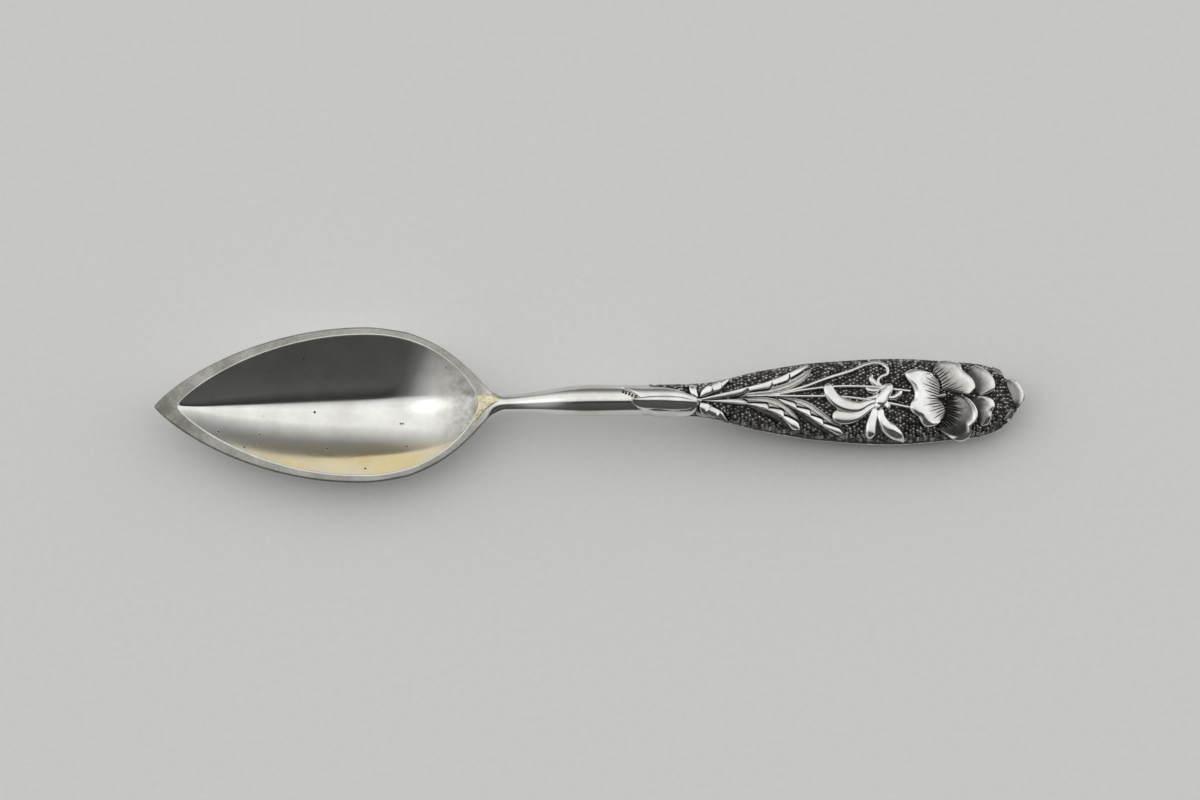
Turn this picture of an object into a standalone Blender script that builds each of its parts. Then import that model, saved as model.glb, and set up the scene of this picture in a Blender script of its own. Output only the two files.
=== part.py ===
"""Nut spoon with a pointed bowl and a hollow, two-shell handle.

The spoon lies on its back along X: bowl tip at -X, handle end at +X, bowl open towards +Z.
The origin is under its middle, on the surface that it rests on. All sizes are in metres.
"""

import math

import bmesh
import bpy
from mathutils import Vector

MM = 0.001

# Lengths along the spoon
BOWL_LENGTH = 57.2 * MM
STEM_LENGTH = 23.2 * MM
HANDLE_LENGTH = 63.6 * MM

# Bowl, seen from above and from the side
BOWL_TIP_TO_WIDEST = 34.4 * MM
BOWL_HALF_WIDTH = 13.0 * MM
RIM_HEIGHT = 7.5 * MM
RIM_LAND = 1.4 * MM
RIM_LAND_AT_TIP = 3.8 * MM
RIM_LAND_AT_HEEL = 3.7 * MM
TIP_LIFT = 0.8 * MM
BOWL_FLOOR = 1.0 * MM
BOWL_FOOT_SHARE = 0.13

# Stem: a neck that grows out of the heel, a swelling, and a tang inside the handle
NECK_ROOT_HALF_WIDTH = 3.4 * MM
NECK_HALF_WIDTH = 1.45 * MM
NECK_HALF_HEIGHT = 1.5 * MM
SWELL_RADIUS = 2.6 * MM
HEEL_TO_SWELL = 14.8 * MM
STEM_RISE = 3.5 * MM
TANG_RADIUS = 1.25 * MM
TANG_LENGTH = 33.6 * MM

# Joint between bowl and stem: a groove that widens upwards, filled with solder
HEEL_WALL = 0.5 * MM
GROOVE_TOP_WIDTH = 3.0 * MM
GROOVE_ROOT_WIDTH = 0.5 * MM

# Handle
MOUTH_RADIUS = 2.45 * MM
MOUTH_TO_WIDEST = 41.6 * MM
HANDLE_HALF_WIDTH = 7.15 * MM
HANDLE_HALF_THICKNESS = 3.8 * MM
HANDLE_CAP_LENGTH = 8.0 * MM
HANDLE_END_LIFT = 0.6 * MM
SHELL_WALL = 0.5 * MM
SEAM_THICKNESS = 0.2 * MM
REST_FLAT_DEPTH = 0.25 * MM

# Filling
COLLAR_LENGTH = 3.6 * MM
FIT_GAP = 0.1 * MM

# Curves: fullness of the bowl's outlines, and shares of the way and of the growth along the handle
TIP_FULLNESS = 0.83
HEEL_TAPER = 2.2
HEEL_FULLNESS = 0.95
INNER_HEEL_FULLNESS = 0.7
BOWL_ROUNDNESS = 0.85
GROOVE_LEAN = 0.7
AXIS_FALL_AT_MOUTH = 0.05
AXIS_FALL_MIDWAY = 0.57
HANDLE_SWELL = ((0.23, 0.06), (0.47, 0.53), (0.71, 0.86))
WIDTH_MIDWAY_TO_END = 0.9
WIDTH_AT_END = 0.75
THICKNESS_AT_END = 0.7
END_BLUNTNESS = 0.015
TOWARDS_BOWL = -1
TOWARDS_HANDLE = 1

# Places along X that follow from the lengths
TIP_X = -(BOWL_LENGTH + STEM_LENGTH + HANDLE_LENGTH) / 2
BOWL_WIDEST_X = TIP_X + BOWL_TIP_TO_WIDEST
BOWL_HEEL_X = TIP_X + BOWL_LENGTH
INNER_HEEL_X = BOWL_HEEL_X - RIM_LAND_AT_HEEL
NECK_ROOT_X = INNER_HEEL_X + HEEL_WALL / 2
SWELL_X = BOWL_HEEL_X + HEEL_TO_SWELL
MOUTH_X = BOWL_HEEL_X + STEM_LENGTH
TANG_END_X = MOUTH_X + TANG_LENGTH
HANDLE_WIDEST_X = MOUTH_X + MOUTH_TO_WIDEST
HANDLE_END_X = MOUTH_X + HANDLE_LENGTH
HALF_SEAM = SEAM_THICKNESS / 2 + FIT_GAP

# Mesh fineness
RIM_POINTS_PER_SIDE = 26
BOWL_RINGS = 9
STEM_SIDES = 20
SHELL_ARC_POINTS = 13
HANDLE_STATIONS = 24
CAP_STATIONS = 8


def ease(x, stations):
    """Value at x of the smooth curve through the (x, value) stations, flat at both ends."""
    if x <= stations[0][0]:
        return stations[0][1]
    if x >= stations[-1][0]:
        return stations[-1][1]
    slopes = [0.0]
    for before, here, after in zip(stations, stations[1:], stations[2:]):
        rise_in = (here[1] - before[1]) / (here[0] - before[0])
        rise_out = (after[1] - here[1]) / (after[0] - here[0])
        monotone = rise_in * rise_out > 0
        slopes.append(2 * rise_in * rise_out / (rise_in + rise_out) if monotone else 0.0)
    slopes.append(0.0)
    for (x0, v0), (x1, v1), s0, s1 in zip(stations, stations[1:], slopes, slopes[1:]):
        if x <= x1:
            span = x1 - x0
            t = (x - x0) / span
            hold = (1 + 2 * t) * (1 - t) ** 2 * v0 + t * t * (3 - 2 * t) * v1
            lean = t * (1 - t) ** 2 * span * s0 - t * t * (1 - t) * span * s1
            return hold + lean


def spread(start, end, count):
    """count values from start to end, evenly spaced."""
    return [start + (end - start) * i / (count - 1) for i in range(count)]


def make_material(name, color, roughness, metallic):
    material = bpy.data.materials.new(name)
    material.use_nodes = True
    shader = material.node_tree.nodes["Principled BSDF"]
    shader.inputs["Base Color"].default_value = (*color, 1.0)
    shader.inputs["Roughness"].default_value = roughness
    shader.inputs["Metallic"].default_value = metallic
    return material


def add_object(name, mesh, material):
    mesh.shade_smooth()
    mesh.set_sharp_from_angle(angle=math.radians(35))
    piece = bpy.data.objects.new(name, mesh)
    bpy.context.scene.collection.objects.link(piece)
    if material:
        mesh.materials.append(material)
        piece.parent = spoon
    else:
        piece.hide_render = True
        piece.display_type = "WIRE"
    return piece


def loft(name, rings, material=None):
    """Closed solid through rings of points, with a flat cap on the first and on the last ring."""
    bm = bmesh.new()
    loops = [[bm.verts.new(point) for point in ring] for ring in rings]
    for near, far in zip(loops, loops[1:]):
        for i in range(len(near)):
            j = (i + 1) % len(near)
            bm.faces.new((near[i], near[j], far[j], far[i]))
    bm.faces.new(loops[0])
    bm.faces.new(loops[-1])
    bmesh.ops.recalc_face_normals(bm, faces=bm.faces)
    mesh = bpy.data.meshes.new(name)
    bm.to_mesh(mesh)
    bm.free()
    return add_object(name, mesh, material)


def combine(piece, other, operation):
    boolean = piece.modifiers.new(other.name, "BOOLEAN")
    boolean.object = other
    boolean.operation = operation
    boolean.solver = "EXACT"


# Bowl


def almond(x, tip_x, heel_x, half_width, heel_fullness):
    """Half width at x of an outline with a pointed tip, a wide middle and a tapered heel."""
    if x < BOWL_WIDEST_X:
        u = max(0.0, (x - tip_x) / (BOWL_WIDEST_X - tip_x))
        return half_width * (1 - (1 - u) ** 2) ** TIP_FULLNESS
    u = max(0.0, (heel_x - x) / (heel_x - BOWL_WIDEST_X))
    return half_width * (1 - (1 - u) ** HEEL_TAPER) ** heel_fullness


def rim_ring(tip_x, heel_x, half_width, heel_fullness):
    """Closed outline from the tip along +Y to the heel and back along -Y."""
    turns = spread(0.0, math.pi, RIM_POINTS_PER_SIDE)
    xs = [tip_x + (heel_x - tip_x) * (1 - math.cos(turn)) / 2 for turn in turns]
    side = [(x, almond(x, tip_x, heel_x, half_width, heel_fullness)) for x in xs]
    return side + [(x, -y) for x, y in reversed(side[1:-1])]


def rim_height(x):
    """Height of the flat rim, which rises a little towards the tip."""
    u = max(0.0, (BOWL_WIDEST_X - x) / (BOWL_WIDEST_X - TIP_X))
    return RIM_HEIGHT + TIP_LIFT * u * u


def bowl_ring(outline, share, depth):
    """The rim outline drawn in towards the bowl's middle and let down; the lowest ring is level."""
    drop = (1 - share * share) ** BOWL_ROUNDNESS
    lowest = (1 - BOWL_FOOT_SHARE * BOWL_FOOT_SHARE) ** BOWL_ROUNDNESS
    ring = []
    for x, y in outline:
        ring_x = BOWL_WIDEST_X + (x - BOWL_WIDEST_X) * share
        lift = (rim_height(x) - RIM_HEIGHT) * (1 - drop / lowest)
        ring.append((ring_x, y * share, RIM_HEIGHT - depth * drop / lowest + lift))
    return ring


def make_bowl(material):
    outer = rim_ring(TIP_X, BOWL_HEEL_X, BOWL_HALF_WIDTH, HEEL_FULLNESS)
    inner_tip_x = TIP_X + RIM_LAND_AT_TIP
    inner = rim_ring(inner_tip_x, INNER_HEEL_X, BOWL_HALF_WIDTH - RIM_LAND, INNER_HEEL_FULLNESS)
    shares = [math.sin(turn) for turn in spread(math.asin(BOWL_FOOT_SHARE), math.pi / 2, BOWL_RINGS)]
    underside = [bowl_ring(outer, share, RIM_HEIGHT) for share in shares]
    inside = [bowl_ring(inner, share, RIM_HEIGHT - BOWL_FLOOR) for share in reversed(shares)]
    bowl = loft("bowl", underside + inside, material)
    combine(bowl, stem_body("neck_root"), "UNION")
    combine(bowl, groove_block("bowl_end_face", bowl_face(), TOWARDS_HANDLE), "DIFFERENCE")
    return bowl


# Stem, and the groove of solder that joins it to the bowl


def axis_height(x):
    """Height of the stem's axis and of the handle's seam above the table."""
    neck = RIM_HEIGHT - NECK_HALF_HEIGHT
    stem = neck + STEM_RISE
    handle = HANDLE_HALF_THICKNESS + HALF_SEAM - REST_FLAT_DEPTH
    return ease(x, [
        (NECK_ROOT_X, neck),
        (SWELL_X, stem),
        (MOUTH_X, stem + (handle - stem) * AXIS_FALL_AT_MOUTH),
        (MOUTH_X + MOUTH_TO_WIDEST / 2, stem + (handle - stem) * AXIS_FALL_MIDWAY),
        (HANDLE_WIDEST_X, handle),
        (HANDLE_END_X, handle + HANDLE_END_LIFT),
    ])


def stem_half_width(x):
    return ease(x, [
        (NECK_ROOT_X, NECK_ROOT_HALF_WIDTH),
        (BOWL_HEEL_X, NECK_HALF_WIDTH),
        (SWELL_X, SWELL_RADIUS),
        (MOUTH_X, MOUTH_RADIUS),
    ])


def stem_half_height(x):
    return ease(x, [
        (BOWL_HEEL_X, NECK_HALF_HEIGHT),
        (SWELL_X, SWELL_RADIUS),
        (MOUTH_X, MOUTH_RADIUS),
    ])


def oval(x, half_width, half_height):
    ring = []
    for i in range(STEM_SIDES):
        turn = math.tau * i / STEM_SIDES
        ring.append((x, half_width * math.cos(turn), axis_height(x) + half_height * math.sin(turn)))
    return ring


def tang_rings(radius, start_x, end_x):
    return [oval(x, radius, radius) for x in spread(start_x, end_x, 12)]


def stem_body(name, material=None):
    """Neck, swelling and shoulder, then the tang that goes into the handle."""
    visible = [oval(x, stem_half_width(x), stem_half_height(x)) for x in spread(NECK_ROOT_X, MOUTH_X, 22)]
    return loft(name, visible + tang_rings(TANG_RADIUS, MOUTH_X, TANG_END_X), material)


def bowl_face():
    """Bottom and top of the groove's face on the bowl, as (x, z)."""
    top_x = INNER_HEEL_X + HEEL_WALL
    low_x = top_x + (GROOVE_TOP_WIDTH - GROOVE_ROOT_WIDTH) * GROOVE_LEAN
    return (low_x, axis_height(low_x) - NECK_HALF_HEIGHT), (top_x, RIM_HEIGHT)


def stem_face():
    """Bottom and top of the groove's face on the stem, as (x, z)."""
    (bowl_low_x, _), (bowl_top_x, _) = bowl_face()
    low_x = bowl_low_x + GROOVE_ROOT_WIDTH
    top_x = bowl_top_x + GROOVE_TOP_WIDTH
    low = (low_x, axis_height(low_x) - NECK_HALF_HEIGHT)
    return low, (top_x, axis_height(top_x) + NECK_HALF_HEIGHT)


def groove_block(name, face, side, gap=0.0):
    """Cutter that takes away everything on one side of a groove face, and a gap on its other side."""
    reach = 2 * (HANDLE_END_X - TIP_X)
    low = Vector(face[0])
    along = (Vector(face[1]) - low).normalized()
    low -= Vector((side * gap, 0))
    start = low - along * reach
    end = low + along * reach
    far = Vector((side * reach, 0))
    corners = (start, end, end + far, start + far)
    rings = [[(x, y, z) for x, z in corners] for y in (-reach, reach)]
    return loft(name, rings)


def make_stem(material):
    stem = stem_body("stem", material)
    combine(stem, groove_block("stem_end_face", stem_face(), TOWARDS_BOWL), "DIFFERENCE")
    return stem


def make_heel_solder(material):
    """Wedge of solder that fills the groove, and shows on top as a patch between bowl and stem."""
    solder = stem_body("heel_solder", material)
    combine(solder, groove_block("solder_bowl_face", bowl_face(), TOWARDS_BOWL, FIT_GAP), "DIFFERENCE")
    combine(solder, groove_block("solder_stem_face", stem_face(), TOWARDS_HANDLE, FIT_GAP), "DIFFERENCE")
    return solder


# Handle


def cap_round(x, end_x):
    """Factor that rounds the handle off over its last stretch, down to a small blunt end."""
    u = max(0.0, (x - (end_x - HANDLE_CAP_LENGTH)) / HANDLE_CAP_LENGTH)
    return math.sqrt(max(0.0, 1 - (1 - END_BLUNTNESS) * u * u))


def handle_half_width(x, end_x):
    growth = HANDLE_HALF_WIDTH - MOUTH_RADIUS
    stations = [(MOUTH_X, MOUTH_RADIUS)]
    for way, grown in HANDLE_SWELL:
        stations.append((MOUTH_X + MOUTH_TO_WIDEST * way, MOUTH_RADIUS + growth * grown))
    stations += [
        (HANDLE_WIDEST_X, HANDLE_HALF_WIDTH),
        ((HANDLE_WIDEST_X + HANDLE_END_X) / 2, HANDLE_HALF_WIDTH * WIDTH_MIDWAY_TO_END),
        (HANDLE_END_X, HANDLE_HALF_WIDTH * WIDTH_AT_END),
    ]
    return ease(x, stations) * cap_round(x, end_x)


def handle_half_thickness(x, end_x):
    stations = [
        (MOUTH_X, MOUTH_RADIUS),
        (HANDLE_WIDEST_X, HANDLE_HALF_THICKNESS),
        (HANDLE_END_X, HANDLE_HALF_THICKNESS * THICKNESS_AT_END),
    ]
    return ease(x, stations) * cap_round(x, end_x)


def handle_stations(start_x, end_x, inset=0.0):
    """Places along the handle, closer together around its end, where an inset section has some size."""
    cap_x = end_x - HANDLE_CAP_LENGTH
    turns = spread(0.0, math.pi / 2, CAP_STATIONS)[1:]
    places = spread(start_x, cap_x, HANDLE_STATIONS)
    places += [cap_x + HANDLE_CAP_LENGTH * math.sin(turn) for turn in turns]
    return [x for x in places if handle_half_thickness(x, end_x) > 1.2 * inset]


def half_section(x, end_x, inset, side, skirt=0.0):
    """Half an oval above (side 1) or below (side -1) the seam, flat where it would pass the table.

    A skirt reaches back past the seam.
    """
    half_width = handle_half_width(x, end_x) - inset
    half_thickness = handle_half_thickness(x, end_x) - inset
    seam = axis_height(x) + side * HALF_SEAM
    ring = []
    for turn in spread(0.0, math.pi, SHELL_ARC_POINTS):
        z = seam + side * half_thickness * math.sin(turn)
        ring.append((x, half_width * math.cos(turn), max(inset, z)))
    if skirt:
        ring.append((x, -half_width, seam - side * skirt))
        ring.append((x, half_width, seam - side * skirt))
    return ring


def make_shell(name, side, material):
    """Half shell: a solid half of the handle, hollowed from its seam and open at the mouth."""
    outside = handle_stations(MOUTH_X + FIT_GAP, HANDLE_END_X)
    shell = loft(name, [half_section(x, HANDLE_END_X, 0.0, side) for x in outside], material)
    end_x = HANDLE_END_X - SHELL_WALL
    inside = handle_stations(MOUTH_X - SHELL_WALL, end_x, SHELL_WALL)
    rings = [half_section(x, end_x, SHELL_WALL, side, skirt=SHELL_WALL) for x in inside]
    combine(shell, loft(name + "_hollow", rings), "DIFFERENCE")
    return shell


def flat_section(x, end_x, inset, half_depth):
    """Flat bar as wide as the handle, lying in the seam."""
    half_width = handle_half_width(x, end_x) - inset
    seam = axis_height(x)
    corners = ((-1, -1), (1, -1), (1, 1), (-1, 1))
    return [(x, across * half_width, seam + up * half_depth) for across, up in corners]


def make_seam_solder(material):
    """Strip that follows the seam round the handle, as wide as the shell wall."""
    outside = handle_stations(MOUTH_X + FIT_GAP, HANDLE_END_X)
    bars = [flat_section(x, HANDLE_END_X, 0.0, SEAM_THICKNESS / 2) for x in outside]
    strip = loft("seam_solder", bars, material)
    end_x = HANDLE_END_X - SHELL_WALL
    inside = handle_stations(MOUTH_X - SHELL_WALL, end_x, SHELL_WALL)
    rings = [flat_section(x, end_x, SHELL_WALL, SEAM_THICKNESS) for x in inside]
    combine(strip, loft("seam_hollow", rings), "DIFFERENCE")
    return strip


def filling(name, places, end_x, inset, material):
    """The hollow's shape at some places, clear of the shells, with a hole for the tang."""
    rings = []
    for x in places:
        half_width = handle_half_width(x, end_x) - inset
        half_thickness = handle_half_thickness(x, end_x) - inset
        rings.append([(px, py, max(inset, pz)) for px, py, pz in oval(x, half_width, half_thickness)])
    fill = loft(name, rings, material)
    hole = tang_rings(TANG_RADIUS + FIT_GAP, places[0] - SHELL_WALL, TANG_END_X + FIT_GAP)
    combine(fill, loft(name + "_tang_hole", hole), "DIFFERENCE")
    return fill


def make_mouth_solder(material):
    start_x = MOUTH_X + FIT_GAP
    places = spread(start_x, start_x + COLLAR_LENGTH, 5)
    return filling("mouth_solder", places, HANDLE_END_X, SHELL_WALL + FIT_GAP, material)


def make_filler_core(material):
    start_x = MOUTH_X + COLLAR_LENGTH + 2 * FIT_GAP
    inset = SHELL_WALL + FIT_GAP
    end_x = HANDLE_END_X - inset
    return filling("filler_core", handle_stations(start_x, end_x, inset), end_x, inset, material)


for old in list(bpy.data.objects):
    bpy.data.objects.remove(old)

spoon = bpy.data.objects.new("nut_spoon", None)
bpy.context.scene.collection.objects.link(spoon)

make_bowl(make_material("polished_silver", (0.86, 0.85, 0.81), 0.16, 1.0))
make_heel_solder(make_material("brass_solder", (0.80, 0.74, 0.52), 0.45, 1.0))
make_stem(make_material("stem_silver", (0.84, 0.83, 0.80), 0.18, 1.0))
make_shell("front_shell", 1, make_material("front_silver", (0.66, 0.65, 0.61), 0.30, 1.0))
make_shell("back_shell", -1, make_material("back_silver", (0.66, 0.65, 0.61), 0.30, 1.0))
make_seam_solder(make_material("seam_silver_solder", (0.78, 0.77, 0.72), 0.30, 1.0))
make_mouth_solder(make_material("mouth_silver_solder", (0.76, 0.75, 0.70), 0.35, 1.0))
make_filler_core(make_material("filler_pitch", (0.05, 0.035, 0.025), 0.7, 0.0))
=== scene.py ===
import math

import bpy
import numpy as np
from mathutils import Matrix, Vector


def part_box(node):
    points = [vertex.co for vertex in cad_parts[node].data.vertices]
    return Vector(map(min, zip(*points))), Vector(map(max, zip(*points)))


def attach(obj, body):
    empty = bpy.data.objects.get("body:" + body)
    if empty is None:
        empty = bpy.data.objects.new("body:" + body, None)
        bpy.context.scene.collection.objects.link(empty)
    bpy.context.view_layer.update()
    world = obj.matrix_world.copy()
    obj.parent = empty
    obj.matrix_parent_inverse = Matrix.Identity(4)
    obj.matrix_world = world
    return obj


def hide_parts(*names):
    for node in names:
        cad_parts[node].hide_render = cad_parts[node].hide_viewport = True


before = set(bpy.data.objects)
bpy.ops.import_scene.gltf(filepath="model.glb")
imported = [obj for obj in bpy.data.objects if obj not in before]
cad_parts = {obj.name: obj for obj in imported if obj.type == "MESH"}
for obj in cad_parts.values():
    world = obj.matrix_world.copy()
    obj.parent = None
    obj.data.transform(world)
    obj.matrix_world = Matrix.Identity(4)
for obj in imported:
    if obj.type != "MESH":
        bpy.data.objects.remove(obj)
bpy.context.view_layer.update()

# Bowl: a deep pointed bowl, raised from silver sheet and polished inside. Its rim is filed flat and left
# satin, a keel runs in from the tip, and the heel narrows to a neck, where the stem is soldered on.
# The spoon's sizes, here and below, are in millimetres.
MM = 0.001
bowl_low, bowl_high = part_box("bowl")
TIP_X = bowl_low.x / MM
BOWL_HALF_WIDTH = bowl_high.y / MM
WIDEST_X = -37.6
TIP_LIFT = 0.8
RIM_HEIGHT = bowl_high.z / MM - TIP_LIFT
BOWL_FLOOR = 1.0
INNER_TIP_X = -68.2
INNER_HEEL_X = -18.5
INNER_HALF_WIDTH = 11.6
INNER_DEPTH = RIM_HEIGHT - BOWL_FLOOR
TIP_FULLNESS = 0.83
HEEL_TAPER = 2.2
INNER_HEEL_FULLNESS = 0.7
BOWL_ROUNDNESS = 0.85
INNER_HEEL_SLOPE = 1.1
FOOT_SHARE = 0.985
EDGE_ROUND = 0.35
LIP_ROUND = 0.16
JOINT_X = -16.2
NECK_STARTS_X = -18.6
NECK_ROUND_X = -14.0
HEEL_OUTLINE = (
    (WIDEST_X, BOWL_HALF_WIDTH), (-31, 12.19), (-27.2, 10.79), (-24.7, 9.44), (-22.2, 7.65),
    (-19.7, 5.35), (-17.8, 3.35), (-16.2, 2.0), (-14.4, 1.45), (0, 2.6), (8.4, 2.45),
)
HEEL_DEPTH = (
    (WIDEST_X, RIM_HEIGHT), (-31, 7.1), (-27.2, 6.35), (-24.7, 5.6), (-22.2, 4.7), (-19.7, 3.7),
    (-17.2, 3.1), (-14.4, 3.0),
)
KEEL_SHARPNESS = ((INNER_TIP_X, 1.3), (-60, 1.58), (-50, 1.74), (-40, 1.85), (-30, 1.95))
SPOON_AXIS = ((-18.25, 6.0), (0, 9.5), (8.4, 9.21), (29.2, 6.22), (50, 3.75), (72, 4.35))
STEM_HALF_HEIGHT = ((-14.4, 1.5), (0, 2.6), (8.4, 2.45))
UNDER = 0.4
LAND = 0.1
BOWL_ROWS = 280
ROUND_COLUMNS = 240
CROWDING = 0.6
MERGE_DISTANCE = 2e-7
CREASE_ANGLE = math.radians(48)


def portion(x, first, last):
    """How far x has come from first (0) to last (1)."""
    return np.clip((x - first) / (last - first), 0, 1)


def bend(t, span, first, last, leaving, arriving):
    """A smooth curve from first (t is 0) to last (t is 1), with these slopes over the span at its ends."""
    level = (1 + 2 * t) * (1 - t) ** 2 * first + t * t * (3 - 2 * t) * last
    return level + span * t * (1 - t) * ((1 - t) * leaving - t * arriving)


def ease(x, stations):
    """A smooth curve through (place, value) stations that doesn't overshoot and is level at both ends."""
    place, value = np.array(stations, float).T
    rise = np.diff(value) / np.diff(place)
    slope = np.zeros(len(place))
    same_way = rise[:-1] * rise[1:] > 0
    slope[1:-1][same_way] = 2 / (1 / rise[:-1][same_way] + 1 / rise[1:][same_way])
    x = np.clip(x, place[0], place[-1])
    i = np.clip(np.searchsorted(place, x, side="right") - 1, 0, len(rise) - 1)
    span = place[i + 1] - place[i]
    return bend((x - place[i]) / span, span, value[i], value[i + 1], slope[i], slope[i + 1])


def rim_outline(x):
    """The bowl's, neck's and stem's half width."""
    pointed = BOWL_HALF_WIDTH * (1 - (1 - portion(x, TIP_X, WIDEST_X)) ** 2) ** TIP_FULLNESS
    return np.where(x < WIDEST_X, pointed, ease(x, HEEL_OUTLINE))


def inner_outline(x):
    """The half width of the opening inside the rim."""
    pointed = (1 - (1 - portion(x, INNER_TIP_X, WIDEST_X)) ** 2) ** TIP_FULLNESS
    round_end = (1 - (1 - portion(x, INNER_HEEL_X, WIDEST_X)) ** HEEL_TAPER) ** INNER_HEEL_FULLNESS
    return INNER_HALF_WIDTH * np.where(x < WIDEST_X, pointed, round_end)


def round_off(distance, radius):
    """How far a rounded edge has dropped at this distance from it."""
    short = radius - np.minimum(distance, radius)
    return radius - np.sqrt(np.maximum(radius**2 - short**2, 0))


def neck_share(x):
    """From 0 on the flat rim to 1 on the round neck."""
    return ease(x, ((NECK_STARTS_X, 0), (NECK_ROUND_X, 1)))


def spoon_section(x, turn):
    """A point on the bowl, neck or stem: x along the spoon, turn once round its section from 0 to 1."""
    inside_share = 1 - UNDER - 2 * LAND
    from_tip = portion(x, TIP_X, WIDEST_X)
    rim = RIM_HEIGHT + TIP_LIFT * (1 - from_tip) ** 2
    outer = rim_outline(x)
    inner = inner_outline(x)
    edge = np.minimum(EDGE_ROUND, 0.5 * outer)
    lip = np.minimum(LIP_ROUND, 0.3 * inner)
    tip_depth = RIM_HEIGHT * (1 - (1 - from_tip) ** 2) ** BOWL_ROUNDNESS
    depth = np.where(x < WIDEST_X, tip_depth, ease(x, HEEL_DEPTH))
    near_end = portion(x, np.where(x < WIDEST_X, INNER_TIP_X, INNER_HEEL_X), WIDEST_X)
    slope = np.where(x < WIDEST_X, BOWL_ROUNDNESS, INNER_HEEL_SLOPE)
    hollow = INNER_DEPTH * (1 - (1 - near_end) ** 2) ** slope
    sharp = ease(x, KEEL_SHARPNESS)

    under = turn <= UNDER
    near_land = (turn > UNDER) & (turn < UNDER + LAND)
    far_land = turn > 1 - LAND
    inside = ~(under | near_land | far_land)
    swing = np.cos(np.pi * turn / UNDER)
    sweep = -np.cos(np.pi * (turn - UNDER - LAND) / inside_share)
    land_share = np.where(far_land, (1 - turn) / LAND, (turn - UNDER) / LAND)
    from_edge = (1 - np.cos(np.pi * np.clip(land_share, 0, 1))) / 2
    land = outer - inner
    y = np.where(under, outer * swing, inner * sweep)
    y = np.where(near_land, -(outer - land * from_edge), y)
    y = np.where(far_land, outer - land * from_edge, y)

    full = np.minimum(1, (1 - np.minimum(swing**2, 1)) ** BOWL_ROUNDNESS / FOOT_SHARE)
    low = rim - edge - (depth - edge) * full
    dip = 1 - np.minimum(np.abs(sweep), 1) ** sharp
    well = rim - lip - np.maximum(hollow - lip, 0) * dip
    flat = rim - round_off(land * from_edge, edge) - round_off(land * (1 - from_edge), lip)
    z = np.where(under, low, np.where(inside, well, flat))

    neck = neck_share(x)
    bulge = ease(x, STEM_HALF_HEIGHT) * np.sqrt(np.maximum(1 - (y / np.maximum(outer, 1e-6)) ** 2, 0))
    z = (1 - neck) * z + neck * (ease(x, SPOON_AXIS) + np.where(under, -bulge, bulge))
    bared_lip = np.clip(2 - land * (1 - from_edge) / LIP_ROUND, 0, 1) * np.clip(inner / LIP_ROUND, 0, 1)
    marks = {
        "rim": np.where(under | inside, 0.0, 1 - bared_lip) * (1 - neck) ** 2,
        "inside": np.where(inside & (inner > 0), 1.0, 0.0),
    }
    return (x, y, z), marks


def form_sheet(name, rows, columns, shape):
    """Adds a flat grid and forms it: shape gives each point its place in mm and its marks. Where the
    formed sheet's edges meet they are merged, and an end that is left open is filled."""
    bpy.ops.object.select_all(action="DESELECT")
    bpy.ops.mesh.primitive_grid_add(x_subdivisions=rows, y_subdivisions=columns, size=1)
    piece = bpy.context.object
    piece.name = name
    piece.data.name = name
    flat = np.empty(3 * len(piece.data.vertices))
    piece.data.vertices.foreach_get("co", flat)
    along = np.rint((flat[0::3] + 0.5) * rows) / rows
    across = np.rint((flat[1::3] + 0.5) * columns) / columns
    place, marks = shape(along, across)
    piece.data.vertices.foreach_set("co", (np.column_stack(place) * MM).ravel())
    for mark, amount in marks.items():
        piece.data.attributes.new(mark, "FLOAT", "POINT").data.foreach_set("value", amount)
    bpy.ops.object.mode_set(mode="EDIT")
    bpy.ops.mesh.select_all(action="SELECT")
    bpy.ops.mesh.remove_doubles(threshold=MERGE_DISTANCE)
    bpy.ops.mesh.dissolve_degenerate(threshold=MERGE_DISTANCE)
    bpy.ops.mesh.select_all(action="SELECT")
    bpy.ops.mesh.fill_holes(sides=0)
    bpy.ops.mesh.select_all(action="SELECT")
    bpy.ops.mesh.normals_make_consistent(inside=False)
    bpy.ops.object.mode_set(mode="OBJECT")
    bpy.ops.object.shade_smooth_by_angle(angle=CREASE_ANGLE)
    return piece


def crowd_ends(share):
    """Moves evenly spread places closer together towards both ends."""
    return share - CROWDING * np.sin(2 * np.pi * share) / (2 * np.pi)


def bowl_shape(along, across):
    return spoon_section(TIP_X + (JOINT_X - TIP_X) * crowd_ends(along), across)


bowl = form_sheet("silver_bowl", BOWL_ROWS, ROUND_COLUMNS, bowl_shape)


def add_node(tree, kind, inputs=None, **settings):
    """Adds a shader node, with values or links for its inputs by name or number."""
    made = tree.nodes.new("ShaderNode" + kind)
    for name, value in settings.items():
        setattr(made, name, value)
    for name, value in (inputs or {}).items():
        if isinstance(value, bpy.types.NodeSocket):
            tree.links.new(value, made.inputs[name])
        else:
            made.inputs[name].default_value = value
    return made


def start_material(name):
    """A new material, its node tree, its shader, and the place of a point on the piece."""
    material = bpy.data.materials.new(name)
    material.use_nodes = True
    tree = material.node_tree
    return material, tree, tree.nodes["Principled BSDF"], add_node(tree, "TexCoord").outputs["Object"]


def colour_of(value):
    """A grey number or an RGB colour as RGBA."""
    return (value, value, value, 1) if isinstance(value, (int, float)) else (*value, 1)


def ramp(tree, value, *stops):
    """Turns a value into a grey or a colour by (place, grey or colour) stops."""
    made = add_node(tree, "ValToRGB", {"Fac": value})
    for i, (place, colour) in enumerate(stops):
        steps = made.color_ramp.elements
        step = steps[i] if i < 2 else steps.new(place)
        step.position = place
        step.color = colour_of(colour)
    return made.outputs["Color"]


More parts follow.
